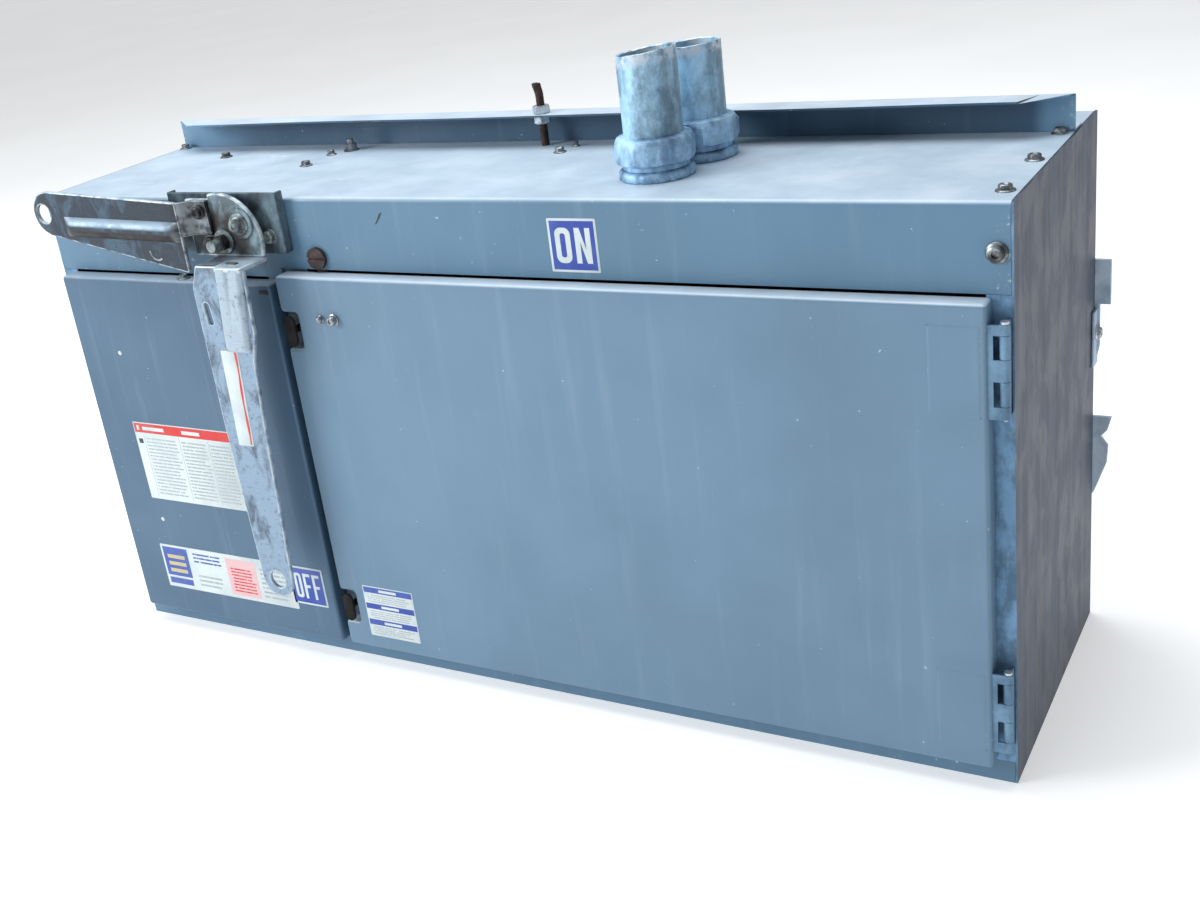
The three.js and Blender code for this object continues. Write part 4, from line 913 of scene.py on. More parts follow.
@dataclass
class Hood:
    """The folded hood: a front band, the flat top with its dents, a rear lip."""

    fold: float = 5.0
    sheet: float = 2.0
    dents: tuple[tuple[float, float], ...] = (
        (-353.6, -41.8), (-350.0, 16.1), (-332.8, 15.4), (-170.0, -89.8)
    )
    dent_reach: float = 6.0
    dent_depth: float = 1.2
    lip_foot: float = 527.0

    def profile(self, low: np.ndarray, front: float, back: float, top: float, rear_low: float) -> np.ndarray:
        """The section's outer points, from the band's foot over the top to the rear lip.

        A fold is a quarter circle of radius f: (y, z) = C + f * (-cos q, sin q).
        """
        q = np.linspace(0, np.pi / 2, 9)
        f = self.fold
        nose = np.stack([front + f - f * np.cos(q), top - f + f * np.sin(q)], 1)
        tail = np.stack([back - f + f * np.sin(q), top - f + f * np.cos(q)], 1)
        flat = np.linspace(front + f + 1.0, back - f - 1.0, 60)
        dense = np.concatenate([np.linspace(y - 8, y + 8, 11) for _, y in self.dents])
        flat = np.unique(np.round(np.concatenate([flat, dense]), 3))
        band = np.stack([np.full(7, front), low + (top - f - low) * np.linspace(0, 0.985, 7)], 1)
        lip = np.array([[back, top - f - 1.0], [back, rear_low]])
        return np.vstack([band, nose, np.stack([flat, np.full(len(flat), top)], 1), tail, lip])

    def build(self) -> None:
        """Carries the section along the box and presses the dents into it."""
        low, high = box_mm("top_hood")
        cover = box_mm("switch_cover")
        door = box_mm("fuse_door")
        step = (cover[1][0] + door[0][0]) / 2
        seam = low[2]
        raised = door[1][2] + (seam - cover[1][2])
        dense = np.concatenate([np.linspace(x - 8, x + 8, 11) for x, _ in self.dents])
        even = np.linspace(low[0], high[0], 90)
        x = np.unique(np.round(np.concatenate([even, dense, [step - 0.01, step + 0.01]]), 3))
        feet = np.where(x < step, seam, raised)
        outer = np.stack([self.profile(foot, low[1], high[1], high[2], self.lip_foot) for foot in feet], 0)
        inner = outer.copy()
        middle = np.array([0.5 * (low[1] + high[1]), high[2] - 40.0])
        step_in = np.sign(middle - outer) * self.sheet
        on_flat = outer[..., 1] > high[2] - 0.01
        on_wall = outer[..., 1] < high[2] - self.fold
        inner[..., 0] += np.where(on_flat, 0.0, step_in[..., 0])
        inner[..., 1] += np.where(on_wall, 0.0, -self.sheet)
        sink = np.zeros(outer.shape[:2])
        for dent_x, dent_y in self.dents:
            away = np.hypot(x[:, None] - dent_x, outer[..., 0] - dent_y) / self.dent_reach
            sink += np.where(on_flat, np.exp(-(away**2) * 3.0), 0.0)
        outer[..., 1] -= self.dent_depth * sink
        inner[..., 1] -= self.dent_depth * sink
        loop = np.concatenate([outer, inner[:, ::-1]], axis=1)
        surface = np.stack([np.broadcast_to(x[:, None], loop.shape[:2]), loop[..., 0], loop[..., 1]], -1)
        cast = Cast()
        cast.grid(surface, wrap=True)
        half = outer.shape[1]
        for end in (surface[0], surface[-1]):
            cast.grid(np.stack([end[:half], end[half:][::-1]], 0), wear=1.0)
        cast.piece("hood", Body.BOX, [PAINT], ["top_hood"])


@dataclass
class Pan:
    """A panel folded back on its four sides: the switch cover or the fuse door."""

    node: str
    body: Body
    name: str
    finish: Finish = PAINT
    fold: float = 3.2
    sheet: float = 2.0

    def outline(self, low: np.ndarray, high: np.ndarray) -> list[tuple[float, float]]:
        """Corners of the face, material on the left."""
        return [(low[0], low[2]), (high[0], low[2]), (high[0], high[2]), (low[0], high[2])]

    def rows(self, deep: float) -> np.ndarray:
        """Rows from the face over the fold and the rim to the inner face."""
        q = np.linspace(0, np.pi / 2, 6)
        over = np.stack([self.fold * (1 - np.sin(q)), -self.fold * (1 - np.cos(q)), np.zeros(6)], 1)
        s = self.sheet
        return np.vstack(
            [
                [self.fold + 0.6, 0, 0],
                over,
                [0, -self.fold - 1, 0],
                [0, -deep + 0.5, 0],
                [0.3, -deep, 1],
                [s - 0.3, -deep, 1],
                [s, -deep + 0.5, 0],
                [s, -self.fold, 0],
                [self.fold, -s, 0],
                [self.fold + 0.6, -s, 0],
            ]
        )

    def build(self) -> None:
        """Carries the outline through the rows."""
        low, high = box_mm(self.node)
        cast = Cast()
        loop = corners_rounded(self.outline(low, high), self.fold + 0.9, 6)
        cast.plate(Seat(0, low[1], 0), [loop], self.rows(high[1] - low[1]))
        cast.piece(self.name, self.body, [self.finish], [self.node])


@dataclass
class Door(Pan):
    """The fuse door, notched on its left edge for its two latches."""

    notch_play: float = 3.0

    def outline(self, low: np.ndarray, high: np.ndarray) -> list[tuple[float, float]]:
        """Corners of the face with a notch for each latch."""
        rim = super().outline(low, high)
        for row in ("upper", "lower"):
            tongue_low, tongue_high = box_mm(f"door_latch_{row}")
            inner = tongue_high[0] + self.notch_play
            top, foot = tongue_high[2] + self.notch_play, tongue_low[2] - self.notch_play
            rim += [(low[0], top), (inner, top), (inner, foot), (low[0], foot)]
        return rim


@dataclass
class BuswayFlange:
    """The upright flange along the hood: foot, web and a lip that ends in a mitre."""

    fold: float = 4.0
    sheet: float = 2.0
    lip_end: float = 30.0
    mitre: float = 14.0
    left_mitre: float = 39.0

    def build(self) -> None:
        """Carries the section along the flange; the lip ends at x = end -+ mitre * s."""
        low, high = box_mm("busway_flange")
        web = low[1] + 33.0
        top, s, f = high[2], self.sheet, self.fold
        q = np.linspace(0, np.pi / 2, 7)
        outer = np.stack([web + s - f + f * np.cos(q), top - f + f * np.sin(q)], 1)
        inner = np.stack([web + s - f + (f - s) * np.cos(q), top - f + (f - s) * np.sin(q)], 1)
        behind = np.array([[high[1], low[2]], [high[1], low[2] + s], [web + s, low[2] + s]])
        lip = np.linspace(web + s - f, low[1], 8)
        over = np.stack([lip, np.full(8, top)], 1)
        under = np.stack([lip, np.full(8, top - s)], 1)[::-1]
        front = np.array([[web, low[2]]])
        loop = np.vstack([behind, outer, over, under, inner[::-1], front])
        count = len(behind) + len(outer)
        on_lip = np.zeros(len(loop), bool)
        on_lip[count - 1 : count + len(over) + len(under) + 1] = True
        end = high[0] + s - self.lip_end - self.mitre * (web + s - loop[:, 0]) / (web - low[1])
        stop = np.where(on_lip, end, high[0])
        start = np.where(on_lip, low[0] + self.left_mitre * (web + s - loop[:, 0]) / (web - low[1]), low[0])
        along = np.linspace(0, 1, 80)[:, None]
        x = start[None] + along * (stop - start)[None]
        surface = np.stack(
            [x, np.broadcast_to(loop[:, 0], x.shape), np.broadcast_to(loop[:, 1], x.shape)], -1
        )
        wave = 0.35 * np.sin(x / 61.0) * (surface[..., 1] < web) * (web - surface[..., 1]) / 33.0
        surface[..., 2] += wave
        cast = Cast()
        cast.grid(surface, wrap=True)
        for side in (surface[0], surface[-1]):
            flat = [Vector((p[1], p[2], 0)) for p in side]
            cast.add(side, np.array(tessellate_polygon([flat])), wear=1.0)
        cast.piece("flange", Body.BOX, [SHADED_FLANGE_PAINT], ["busway_flange"])


def eased(share: np.ndarray) -> np.ndarray:
    """A step that levels out: sin(share * pi / 2) ** 0.8, share held between 0 and 1."""
    return np.sin(np.clip(share, 0, 1) * np.pi / 2) ** 0.8


@dataclass
class PressedForm:
    """A smooth raised form on a plate's face: sides fall away over a round of r."""

    low: float
    high: float
    left: tuple[float, float]
    right: tuple[float, float]
    proud: float
    round: float
    tilt: float = 0.0
    crease: float = 0.0
    sunk: float = -0.4

    def shape(self, cast: Cast, seat: Seat, dress: int = 0, open_top: bool = False) -> None:
        """Lays the form down: height = proud * S(dx / r) * S(dz / r), S a smooth step.

        The tilt carries the form up by tilt * (right - x); the crease is a soft
        groove in its middle, fading towards the lower end.

        Args:
            cast: the piece that takes it in.
            seat: the plate's face.
            dress: number of the finish.
            open_top: the upper end keeps its full height.
        """
        t = np.linspace(0, 1, 61)[:, None]
        s = np.linspace(0, 1, 33)[None]
        left = self.left[0] + (self.left[1] - self.left[0]) * t
        right = self.right[0] + (self.right[1] - self.right[0]) * t
        across = left + (right - left) * s
        up = self.low + (self.high - self.low) * t + 0 * s
        fall = np.minimum(across - left, right - across) / self.round
        ends = (up - self.low) / self.round
        if not open_top:
            ends = np.minimum(ends, (self.high - up) / self.round)
        height = self.proud * eased(fall) * eased(ends)
        groove = np.exp(-(((s - 0.5) / 0.07) ** 2)) * np.clip(1.6 * t - 0.5, 0, 1)
        height = height - self.crease * groove * eased(ends)
        up = up + self.tilt * (right - across)
        cast.grid(seat.lay(across, up, height), dress=dress, wear=0.25 * (eased(fall) < 0.9).ravel())
        rim = np.concatenate(
            [
                np.stack([across[0], up[0]], 1),
                np.stack([across[:, -1], up[:, -1]], 1),
                np.stack([across[-1], up[-1]], 1)[::-1],
                np.stack([across[:, 0], up[:, 0]], 1)[::-1],
            ]
        )
        tall = np.concatenate([height[0], height[:, -1], height[-1][::-1], height[:, 0][::-1]])
        foot = np.full(len(rim), self.sunk)
        wall = [seat.lay(rim[:, 0], rim[:, 1], level) for level in (tall, foot)]
        cast.grid(np.stack(wall), True, dress)
        cast.grid(seat.lay(across, up, np.full(across.shape, self.sunk)), dress=dress)


@dataclass
class Handle:
    """The bell-crank handle: sector, both arms, their bolts and the pivot's stack."""

    edge: float = 1.3
    thick: float = 5.0
    proud: float = 5.0
    shoulder: float = 44.5
    long_tip: float = 21.0
    short_tip: float = 25.0

    def __post_init__(self) -> None:
        """Reads the pivot from the shaft."""
        low, high = box_mm("handle_shaft")
        self.x = (low[0] + high[0]) / 2
        self.z = (low[2] + high[2]) / 2
        self.sector_front = box_mm("handle_sector")[0][1]

    def sector(self) -> None:
        """A quarter disc with a bright rounded rim."""
        low, high = box_mm("handle_sector")
        q = np.linspace(0.06, math.radians(104), 11)
        reach = high[0] - self.x
        arc = np.stack([self.x + reach * np.cos(q), self.z + reach * np.sin(q)], 1)
        shoulder = self.z + self.shoulder
        rim = [
            (low[0], low[2]),
            (high[0] - 3, low[2]),
            (high[0], self.z),
            *map(tuple, arc),
            (arc[-1][0] - 0.5, shoulder),
            (low[0], shoulder),
        ]
        radii = [2.4] * 3 + [2.0] * len(arc) + [1.5, 2.4]
        loop = corners_rounded(rim, radii, 4)
        cast = Cast()
        cast.plate(Seat(0, 0, 0), [loop], bevel_rows(-high[1], -low[1], 1.8))
        cast.piece("sector", Body.HANDLE, [SECTOR_STEEL], ["handle_sector"])

    def long_arm(self) -> None:
        """The arm for OFF: a shelf forward, the flat arm, its raised channel and label."""
        low, high = box_mm("handle_arm_off")
        x, top = self.x, high[2]
        hole_z = low[2] + self.long_tip
        face = low[1] + self.proud
        q = np.linspace(np.pi, 2 * np.pi, 13)
        tip = np.stack([x + self.long_tip * np.cos(q), hole_z + self.long_tip * np.sin(q)], 1)
        left = [(x - 16, top), (x - 26, top - 24), (x - 26, top - 176)]
        right = [(x + 31, top - 184), (x + 37, top - 103), (x + 46, top - 71), (x + 49, top)]
        radii = [2.0, 14.0, 40.0] + [2.0] * len(tip) + [40.0, 24.0, 24.0, 2.5]
        outline = corners_rounded([*left, *map(tuple, tip), *right], radii, 5)
        slot_spots = [(x - 14.4, top - 64), (x - 16.6, top - 40), (x - 9.4, top - 40), (x - 7.2, top - 64)]
        slot = corners_rounded(slot_spots, 3.2, 6)
        cast = Cast()
        seat = Seat(0, 0, 0)
        hole = round_hole(x, hole_z, HOOK_HOLE, 36)
        cast.plate(seat, [outline, hole, slot], bevel_rows(-(face + self.thick), -face, self.edge))
        on_face = Seat(0, face, 0)
        channel = PressedForm(top - 93, top - 1.2, (x + 3, x + 12), (x + 36, x + 48.2), 5.0, 5.0, crease=2.2)
        channel.shape(cast, on_face, 4, open_top=True)
        # A thin dark line along the channel's left foot.
        run = np.linspace(0, 1, 30)
        foot_x = x + 12 - 9 * run
        edge_z = top - 4 - 86 * run
        thin = 1.1 + 0.5 * np.sin(23 * run) + 0.4 * np.sin(41 * run)
        line = np.concatenate(
            [np.stack([foot_x - thin, edge_z], 1), np.stack([foot_x + 1.5, edge_z], 1)[::-1]]
        )
        cast.plate(
            on_face,
            [corners_rounded(list(map(tuple, line)), 0.02, 2)],
            film_rows(-0.1, 0.0, 0.1, 0.12),
            5,
        )
        lid = Facing.TOP
        flat = [(x - 16, face + 0.6), (x + 12, face + 0.6), (x + 12, high[1]), (x - 16, high[1])]
        cast.plate(Seat(0, 0, 0, lid), [corners_rounded(flat, 2.2, 4)], bevel_rows(top - 5, top, self.edge))
        raised = [(x + 11, face - 4.6), (x + 48.5, face - 4.6), (x + 48.5, high[1]), (x + 11, high[1])]
        cast.plate(
            Seat(0, 0, 0, lid),
            [corners_rounded(raised, [5.0, 3.0, 2.0, 2.0], 5)],
            bevel_rows(top - 5, top + 0.3, 2.4, 5),
            4,
        )
        label = [
            (x - 10.5, hole_z + 164),
            (x + 10.5, hole_z + 164),
            (x + 17, hole_z + 273),
            (x - 6.5, hole_z + 273),
        ]
        cast.plate(
            on_face,
            [corners_rounded(label, 1.2, 4)],
            film_rows(-0.2, 0.0, 0.3, 0.35, inset=0.1),
            1,
        )
        t = np.linspace(0, 1, 24)
        middle = x + 13.6 - 6.4 * t + 0.5 * np.sin(9 * t)
        half = 1.25 + 0.35 * np.sin(17 * t + 1)
        z = hole_z + 272 - 106 * t
        loop = np.concatenate([np.stack([middle - half, z], 1), np.stack([middle + half, z], 1)[::-1]])
        cast.plate(
            on_face,
            [corners_rounded(list(map(tuple, loop)), 0.02, 2)],
            film_rows(0.3, 0.32, 0.5, 0.52),
            3,
        )
        cast.slabs(
            Seat(0, 0, 0, lid), np.array([[x + 20, x + 33, face + 8, face + 13, top - 1, top + 1.5]]), 2
        )
        cast.piece(
            "long_arm",
            Body.HANDLE,
            [LONG_ARM_STEEL, STOCK, SHADED_STEEL, INK_RED, CHANNEL_STEEL, CHANNEL_FOOT_LINE],
            ["handle_arm_off"],
        )

    def short_arm(self) -> None:
        """The arm for ON: bolted root, one joggle, the tapered plate with its rib."""
        low, high = box_mm("handle_arm_on")
        face = low[1] + self.proud
        tip_radius = self.short_tip
        hole_x, hole_z = low[0] + 15.0, high[2] - tip_radius
        elbow = self.x - 44.0
        q = np.linspace(np.pi / 2, 1.4 * np.pi, 11)
        tip = np.stack([hole_x + 10 + tip_radius * np.cos(q), hole_z + tip_radius * np.sin(q)], 1)
        rim = [(elbow, low[2]), (elbow, self.z + self.shoulder), *map(tuple, tip)]
        cast = Cast()
        radii = [2.5, 2.5] + [2.0] * len(tip)
        cast.plate(
            Seat(0, 0, 0),
            [corners_rounded(rim, radii, 5), round_hole(hole_x, hole_z, HOOK_HOLE, 36)],
            bevel_rows(-(face + self.thick), -face, self.edge),
        )
        on_face = Seat(0, face, 0)
        rib = PressedForm(
            self.z + 2.0, self.z + 24.0, (hole_x + 31, hole_x + 31), (elbow - 1.5, elbow - 1.5), 6.4,
            11.0, tilt=0.026,
        )
        rib.shape(cast, on_face)
        root_face = self.sector_front - 0.3 - self.thick
        t = np.linspace(0, 1, 25)
        x = elbow - 3 + t * (high[0] - elbow + 3)
        ramp = np.clip((x - elbow) / 16.0, 0, 1)
        front = face + (root_face - face) * ramp * ramp * (3 - 2 * ramp)
        top = np.full(25, self.z + self.shoulder)
        foot = np.full(25, self.z + 8.0)
        rows = np.array([[0.0, 1.0], [0.0, 0.0], [1.0, 0.0], [1.0, 1.0]])
        ease = np.array([[1.2, 0.0], [0.0, 1.2]])
        section = []
        for up, deep in rows:
            for step in (0, 1):
                inward = ease[step] if (up, deep) in ((0.0, 0.0), (1.0, 1.0)) else ease[1 - step]
                z = foot + up * (top - foot) + inward[0] * (1 - 2 * up)
                y = front + deep * self.thick + inward[1] * (1 - 2 * deep)
                section.append(np.stack([x, y, z], -1))
        ring = np.stack(section, 1)
        cast.grid(ring, wrap=True, wear=np.tile([0.5], ring.shape[0] * ring.shape[1]))
        for cap in (ring[0], ring[-1]):
            cast.add(cap, np.array(tessellate_polygon([[Vector((p[1], p[2], 0)) for p in cap]])))
        hex_screw(cast, Seat(self.x - 23, root_face, self.z + 32), 11.0, 7.5, 5.2, 0.5, 1)
        mark = np.linspace(np.pi * 0.98, np.pi * 1.72, 15)
        crescent = np.stack([np.stack([r * np.cos(mark), r * np.sin(mark)], -1) for r in (8.6, 10.4)])
        moon = np.stack([crescent[..., 0] + self.x - 85, crescent[..., 1] + self.z - 8], -1)
        lifted = np.stack([moon[0], 0.5 * (moon[0] + moon[1]), moon[1]])
        rise = np.array([0.0, 0.9, 0.0])[:, None] + np.zeros(15)
        cast.grid(on_face.lay(lifted[..., 0], lifted[..., 1], rise), dress=2)
        cast.grid(
            on_face.lay(lifted[[0, 2]][..., 0], lifted[[0, 2]][..., 1], np.zeros((2, 15)) - 0.1), dress=2
        )
        cast.piece(
            "short_arm",
            Body.HANDLE,
            [SHORT_ARM_STEEL, DARK_STEEL, PIN_ZINC],
            ["handle_arm_on"],
        )

    def bolts(self) -> None:
        """The sector's bolt on its two washers, and the stud with its nut at the pivot."""
        low, high = box_mm("handle_drive_bolt")
        x, z = (low[0] + high[0]) / 2, (low[2] + high[2]) / 2
        cast = Cast()
        seat = Seat(x, self.sector_front, z)
        cast.turned(
            seat,
            [(0, 0, 0), (16.0, 0, 0.0), (16.4, 0, 0.6), (16.4, 0, 1.8), (15.8, 0, 2.3), (0, 0, 2.3)],
            56,
            dress=1,
        )
        cast.turned(seat, [(0, 0, 2.2), (11.6, 0, 2.3), (11.9, 0, 3.0), (11.2, 0, 4.0), (0, 0, 4.0)], 48)
        hex_screw(cast, Seat(x, self.sector_front - 3.8, z), 13.0, 8.2, 7.0, 0.35)
        cast.piece("drive_bolt", Body.HANDLE, [BOLT_STEEL, SECTOR_STEEL], ["handle_drive_bolt"])
        low, high = box_mm("handle_shaft_nut")
        cast = Cast()
        seat = Seat(self.x, self.sector_front, self.z)
        cast.turned(
            seat,
            [(0, 0, 0), (12.6, 0, 0), (13.0, 0, 0.6), (13.0, 0, 2.0), (12.4, 0, 2.6), (0, 0, 2.6)],
            48,
        )
        flats = 15.5
        rows = [
            (0, 0, 2.5),
            (0, flats, 2.6),
            (0, flats, 9.2),
            (8.0, flats, 9.9),
            (6.2, 0, 10.0),
            (0, 0, 10.0),
        ]
        cast.turned(seat, rows, 48, 6, 0.2, 1)
        cast.turned(
            seat,
            [
                (0, 0, 9.0), (5.6, 0, 9.2), (5.6, 0, 14.0), (4.9, 0, 14.8), (2.4, 0, 14.8),
                (2.0, 0, 14.2), (0, 0, 14.2),
            ],
            36,
        )
        cast.piece("pivot_nut", Body.HANDLE, [BOLT_STEEL, DARK_STEEL], ["handle_shaft_nut"])
        cast = Cast()
        side = Seat(self.x - 15.5, self.sector_front, self.z - 1.5)
        cast.turned(
            side,
            [
                (0, 0, 0), (8.4, 0, 0), (8.6, 0, 1.6), (0, 14.0, 2.0), (0, 14.0, 8.0),
                (7.4, 14.0, 8.8), (5.0, 0, 9.0), (4.6, 0, 11.0), (0, 0, 11.2),
            ],
            48,
            6,
            0.1,
        )
        cast.piece("stop_nut", Body.HANDLE, [DARK_STEEL])

    def build(self) -> None:
        """Makes the whole handle and eases its bracket."""
        self.sector()
        self.long_arm()
        self.short_arm()
        self.bolts()
        softened("handle_bracket", Body.BOX, BRACKET_STEEL, 1.1)
        low, high = box_mm("handle_bracket")
        cast = Cast()
        hex_screw(cast, Seat(high[0] - 16, low[1], self.z + 2.5), 12.0, 8.2, 6.5, 0.1)
        cast.piece("bracket_bolt", Body.BOX, [BOLT_STEEL])


@dataclass
class Conduit:
    """One cut conduit with its coupling nut and locknut."""

    run: str
    wall: float = 2.2
    slope: float = 0.1
    ragged: float = 0.35
    seed: float = 0.0

    def tube(self) -> None:
        """Tube with a ragged cut: z(a) = top + slope * x + ragged * (three sines)."""
        low, high = box_mm(f"conduit_{self.run}")
        centre = (low + high) / 2
        radius = (high[0] - low[0]) / 2
        a = np.linspace(0, 2 * np.pi, 96, endpoint=False)
        rough = np.sin(7 * a + self.seed) + 0.8 * np.sin(17 * a + 2.1 * self.seed) + 0.6 * np.sin(31 * a)
        brim = high[2] - 1.6 - radius * self.slope * (1 - np.cos(a)) + self.ragged * (rough - 1.2) * 0.45
        t = np.linspace(0, 1, 24)[:, None]
        dent = 1 + 0.006 * np.sin(3 * a + self.seed) * t
        z_out = low[2] + t * (brim - low[2])
        out = np.stack([radius * dent * np.cos(a), radius * dent * np.sin(a), z_out], -1)
        inner = radius - self.wall
        into = np.stack([inner * dent * np.cos(a), inner * dent * np.sin(a), z_out - 0.4], -1)[::-1]
        lip = np.stack(
            [(radius - 0.5) * dent[-1] * np.cos(a), (radius - 0.5) * dent[-1] * np.sin(a), brim + 0.5], -1
        )[None]
        surface = np.concatenate([out, lip, into, out[:1]]) + np.array([centre[0], centre[1], 0.0])
        wear = np.zeros(surface.shape[:2])
        wear[22:27] = 1.0
        cast = Cast()
        cast.grid(surface, True, 0, wear.ravel())
        cast.piece(
            f"conduit_tube_{self.run}", Body.BOX, [TUBE_ZINC], [f"conduit_{self.run}"]
        )

    def nuts(self) -> None:
        """The faceted coupling nut over its skirt, and the hammered locknut ring."""
        low, high = box_mm(f"coupling_nut_{self.run}")
        centre = (low + high) / 2
        tube_low, tube_high = box_mm(f"conduit_{self.run}")
        tube = (tube_high[0] - tube_low[0]) / 2
        seat = Seat(centre[0], centre[1], low[2], Facing.TOP)
        across = 2 * (tube + 7.9)
        tall = high[2] - low[2]
        bore = tube - 0.4
        rows = [
            (bore, 0, 0.0),
            (tube + 3.2, 0, 0.0),
            (tube + 3.5, 0, 0.6),
            (tube + 3.5, 0, 4.6),
            (tube + 6.4, 0, 5.0),
            (tube + 8.6, across, 6.4),
            (0, across, 8.5),
            (0, across, tall - 6.5),
            (tube + 8.9, across, tall - 4.2),
            (tube + 7.2, across - 1.5, tall - 1.6),
            (tube + 4.6, 0, tall - 0.3),
            (tube + 2.8, 0, tall),
            (bore, 0, tall + 0.2),
            (bore, 0, 0.0),
        ]
        cast = Cast()
        cast.turned(seat, rows, 96, 8, np.pi / 8 + self.seed)
        cast.piece(
            f"coupling_{self.run}",
            Body.BOX,
            [CAST_ZINC],
            [f"coupling_nut_{self.run}"],
            math.radians(24),
        )
        low, high = box_mm(f"locknut_{self.run}")
        edge = (high[0] - low[0]) / 2
        tall = high[2] - low[2]
        a = np.linspace(0, 2 * np.pi, 120, endpoint=False)
        lobes = 1 - 0.055 * np.clip(np.cos(8 * a + self.seed), 0.72, 1) ** 6
        profile = np.array(
            [
                [bore, 0.0], [edge - 1.0, 0.0], [edge, 1.4], [edge, tall - 2.6],
                [edge - 1.4, tall - 0.8], [edge - 3.4, tall], [bore, tall], [bore, 0.0],
            ]
        )
        radius = np.where(profile[:, :1] > bore + 1, profile[:, :1] * lobes, profile[:, :1])
        wobble = 0.35 * np.sin(5 * a + self.seed)
        height = profile[:, 1:] + wobble * (profile[:, 1:] > 3)
        seat = Seat(centre[0], centre[1], low[2], Facing.TOP)
        cast = Cast()
        cast.grid(seat.lay(radius * np.cos(a), radius * np.sin(a), height), True)
        cast.piece(f"locknut_ring_{self.run}", Body.BOX, [CAST_ZINC], [f"locknut_{self.run}"])

    def build(self) -> None:
        """Makes the tube and both nuts."""
        self.tube()
        self.nuts()


@dataclass
class HangerRod:
    """The threaded rod through the lip, with its bent top and two nuts."""

    pitch: float = 1.6
    depth: float = 0.45

    def build(self) -> None:
        """Thread: r = R - depth * |2 frac(z / pitch - a / 2 pi) - 1|, flattened near the top."""
        low, high = box_mm("hanger_rod")
        nut_top = box_mm("hanger_nut_top")
        centre = (nut_top[0] + nut_top[1]) / 2
        a = np.linspace(0, 2 * np.pi, 24, endpoint=False)
        z = np.linspace(low[2], high[2], 320)[:, None]
        core = 4.5 - self.depth * np.abs(2 * np.mod(z / self.pitch - a / (2 * np.pi), 1) - 1)
        up = np.clip((z - (high[2] - 17)) / 15, 0, 1)
        up = up * up * (3 - 2 * up)
        wide = 1 + 0.25 * up
        flat = 1 - 0.42 * up
        lean = -2.2 * up**2
        end = np.clip((high[2] - z) / 1.0, 0, 1) ** 0.5
        x = centre[0] + lean + core * wide * end * np.cos(a)
        y = centre[1] + core * flat * end * np.sin(a)
        foot = np.array([[[centre[0], centre[1], low[2]]]]) + np.zeros((1, 24, 3))
        surface = np.concatenate([foot, np.stack([x, y, z + 0 * a], -1)])
        cast = Cast()
        cast.grid(surface, True, wear=0.2)
        cast.piece("rod", Body.BOX, [RUST], ["hanger_rod"], math.radians(60))
        for row in ("top", "bottom"):
            low, high = box_mm(f"hanger_nut_{row}")
            tall = high[2] - low[2]
            half = (high[1] - low[1]) / 2
            rows = [
                (4.3, 0, 0), (half, 0, 0), (half * 1.13, 2 * half, 0.8), (0, 2 * half, 2.0),
                (0, 2 * half, tall - 2.0), (half * 1.13, 2 * half, tall - 0.8), (half, 0, tall),
                (4.3, 0, tall), (4.3, 0, 0),
            ]
            cast = Cast()
            cast.turned(
                Seat(centre[0], centre[1], low[2], Facing.TOP), rows, 48, 6, 0.4 if row == "top" else 0.9
            )
            cast.piece(f"rod_nut_{row}", Body.BOX, [PIN_ZINC], [f"hanger_nut_{row}"])


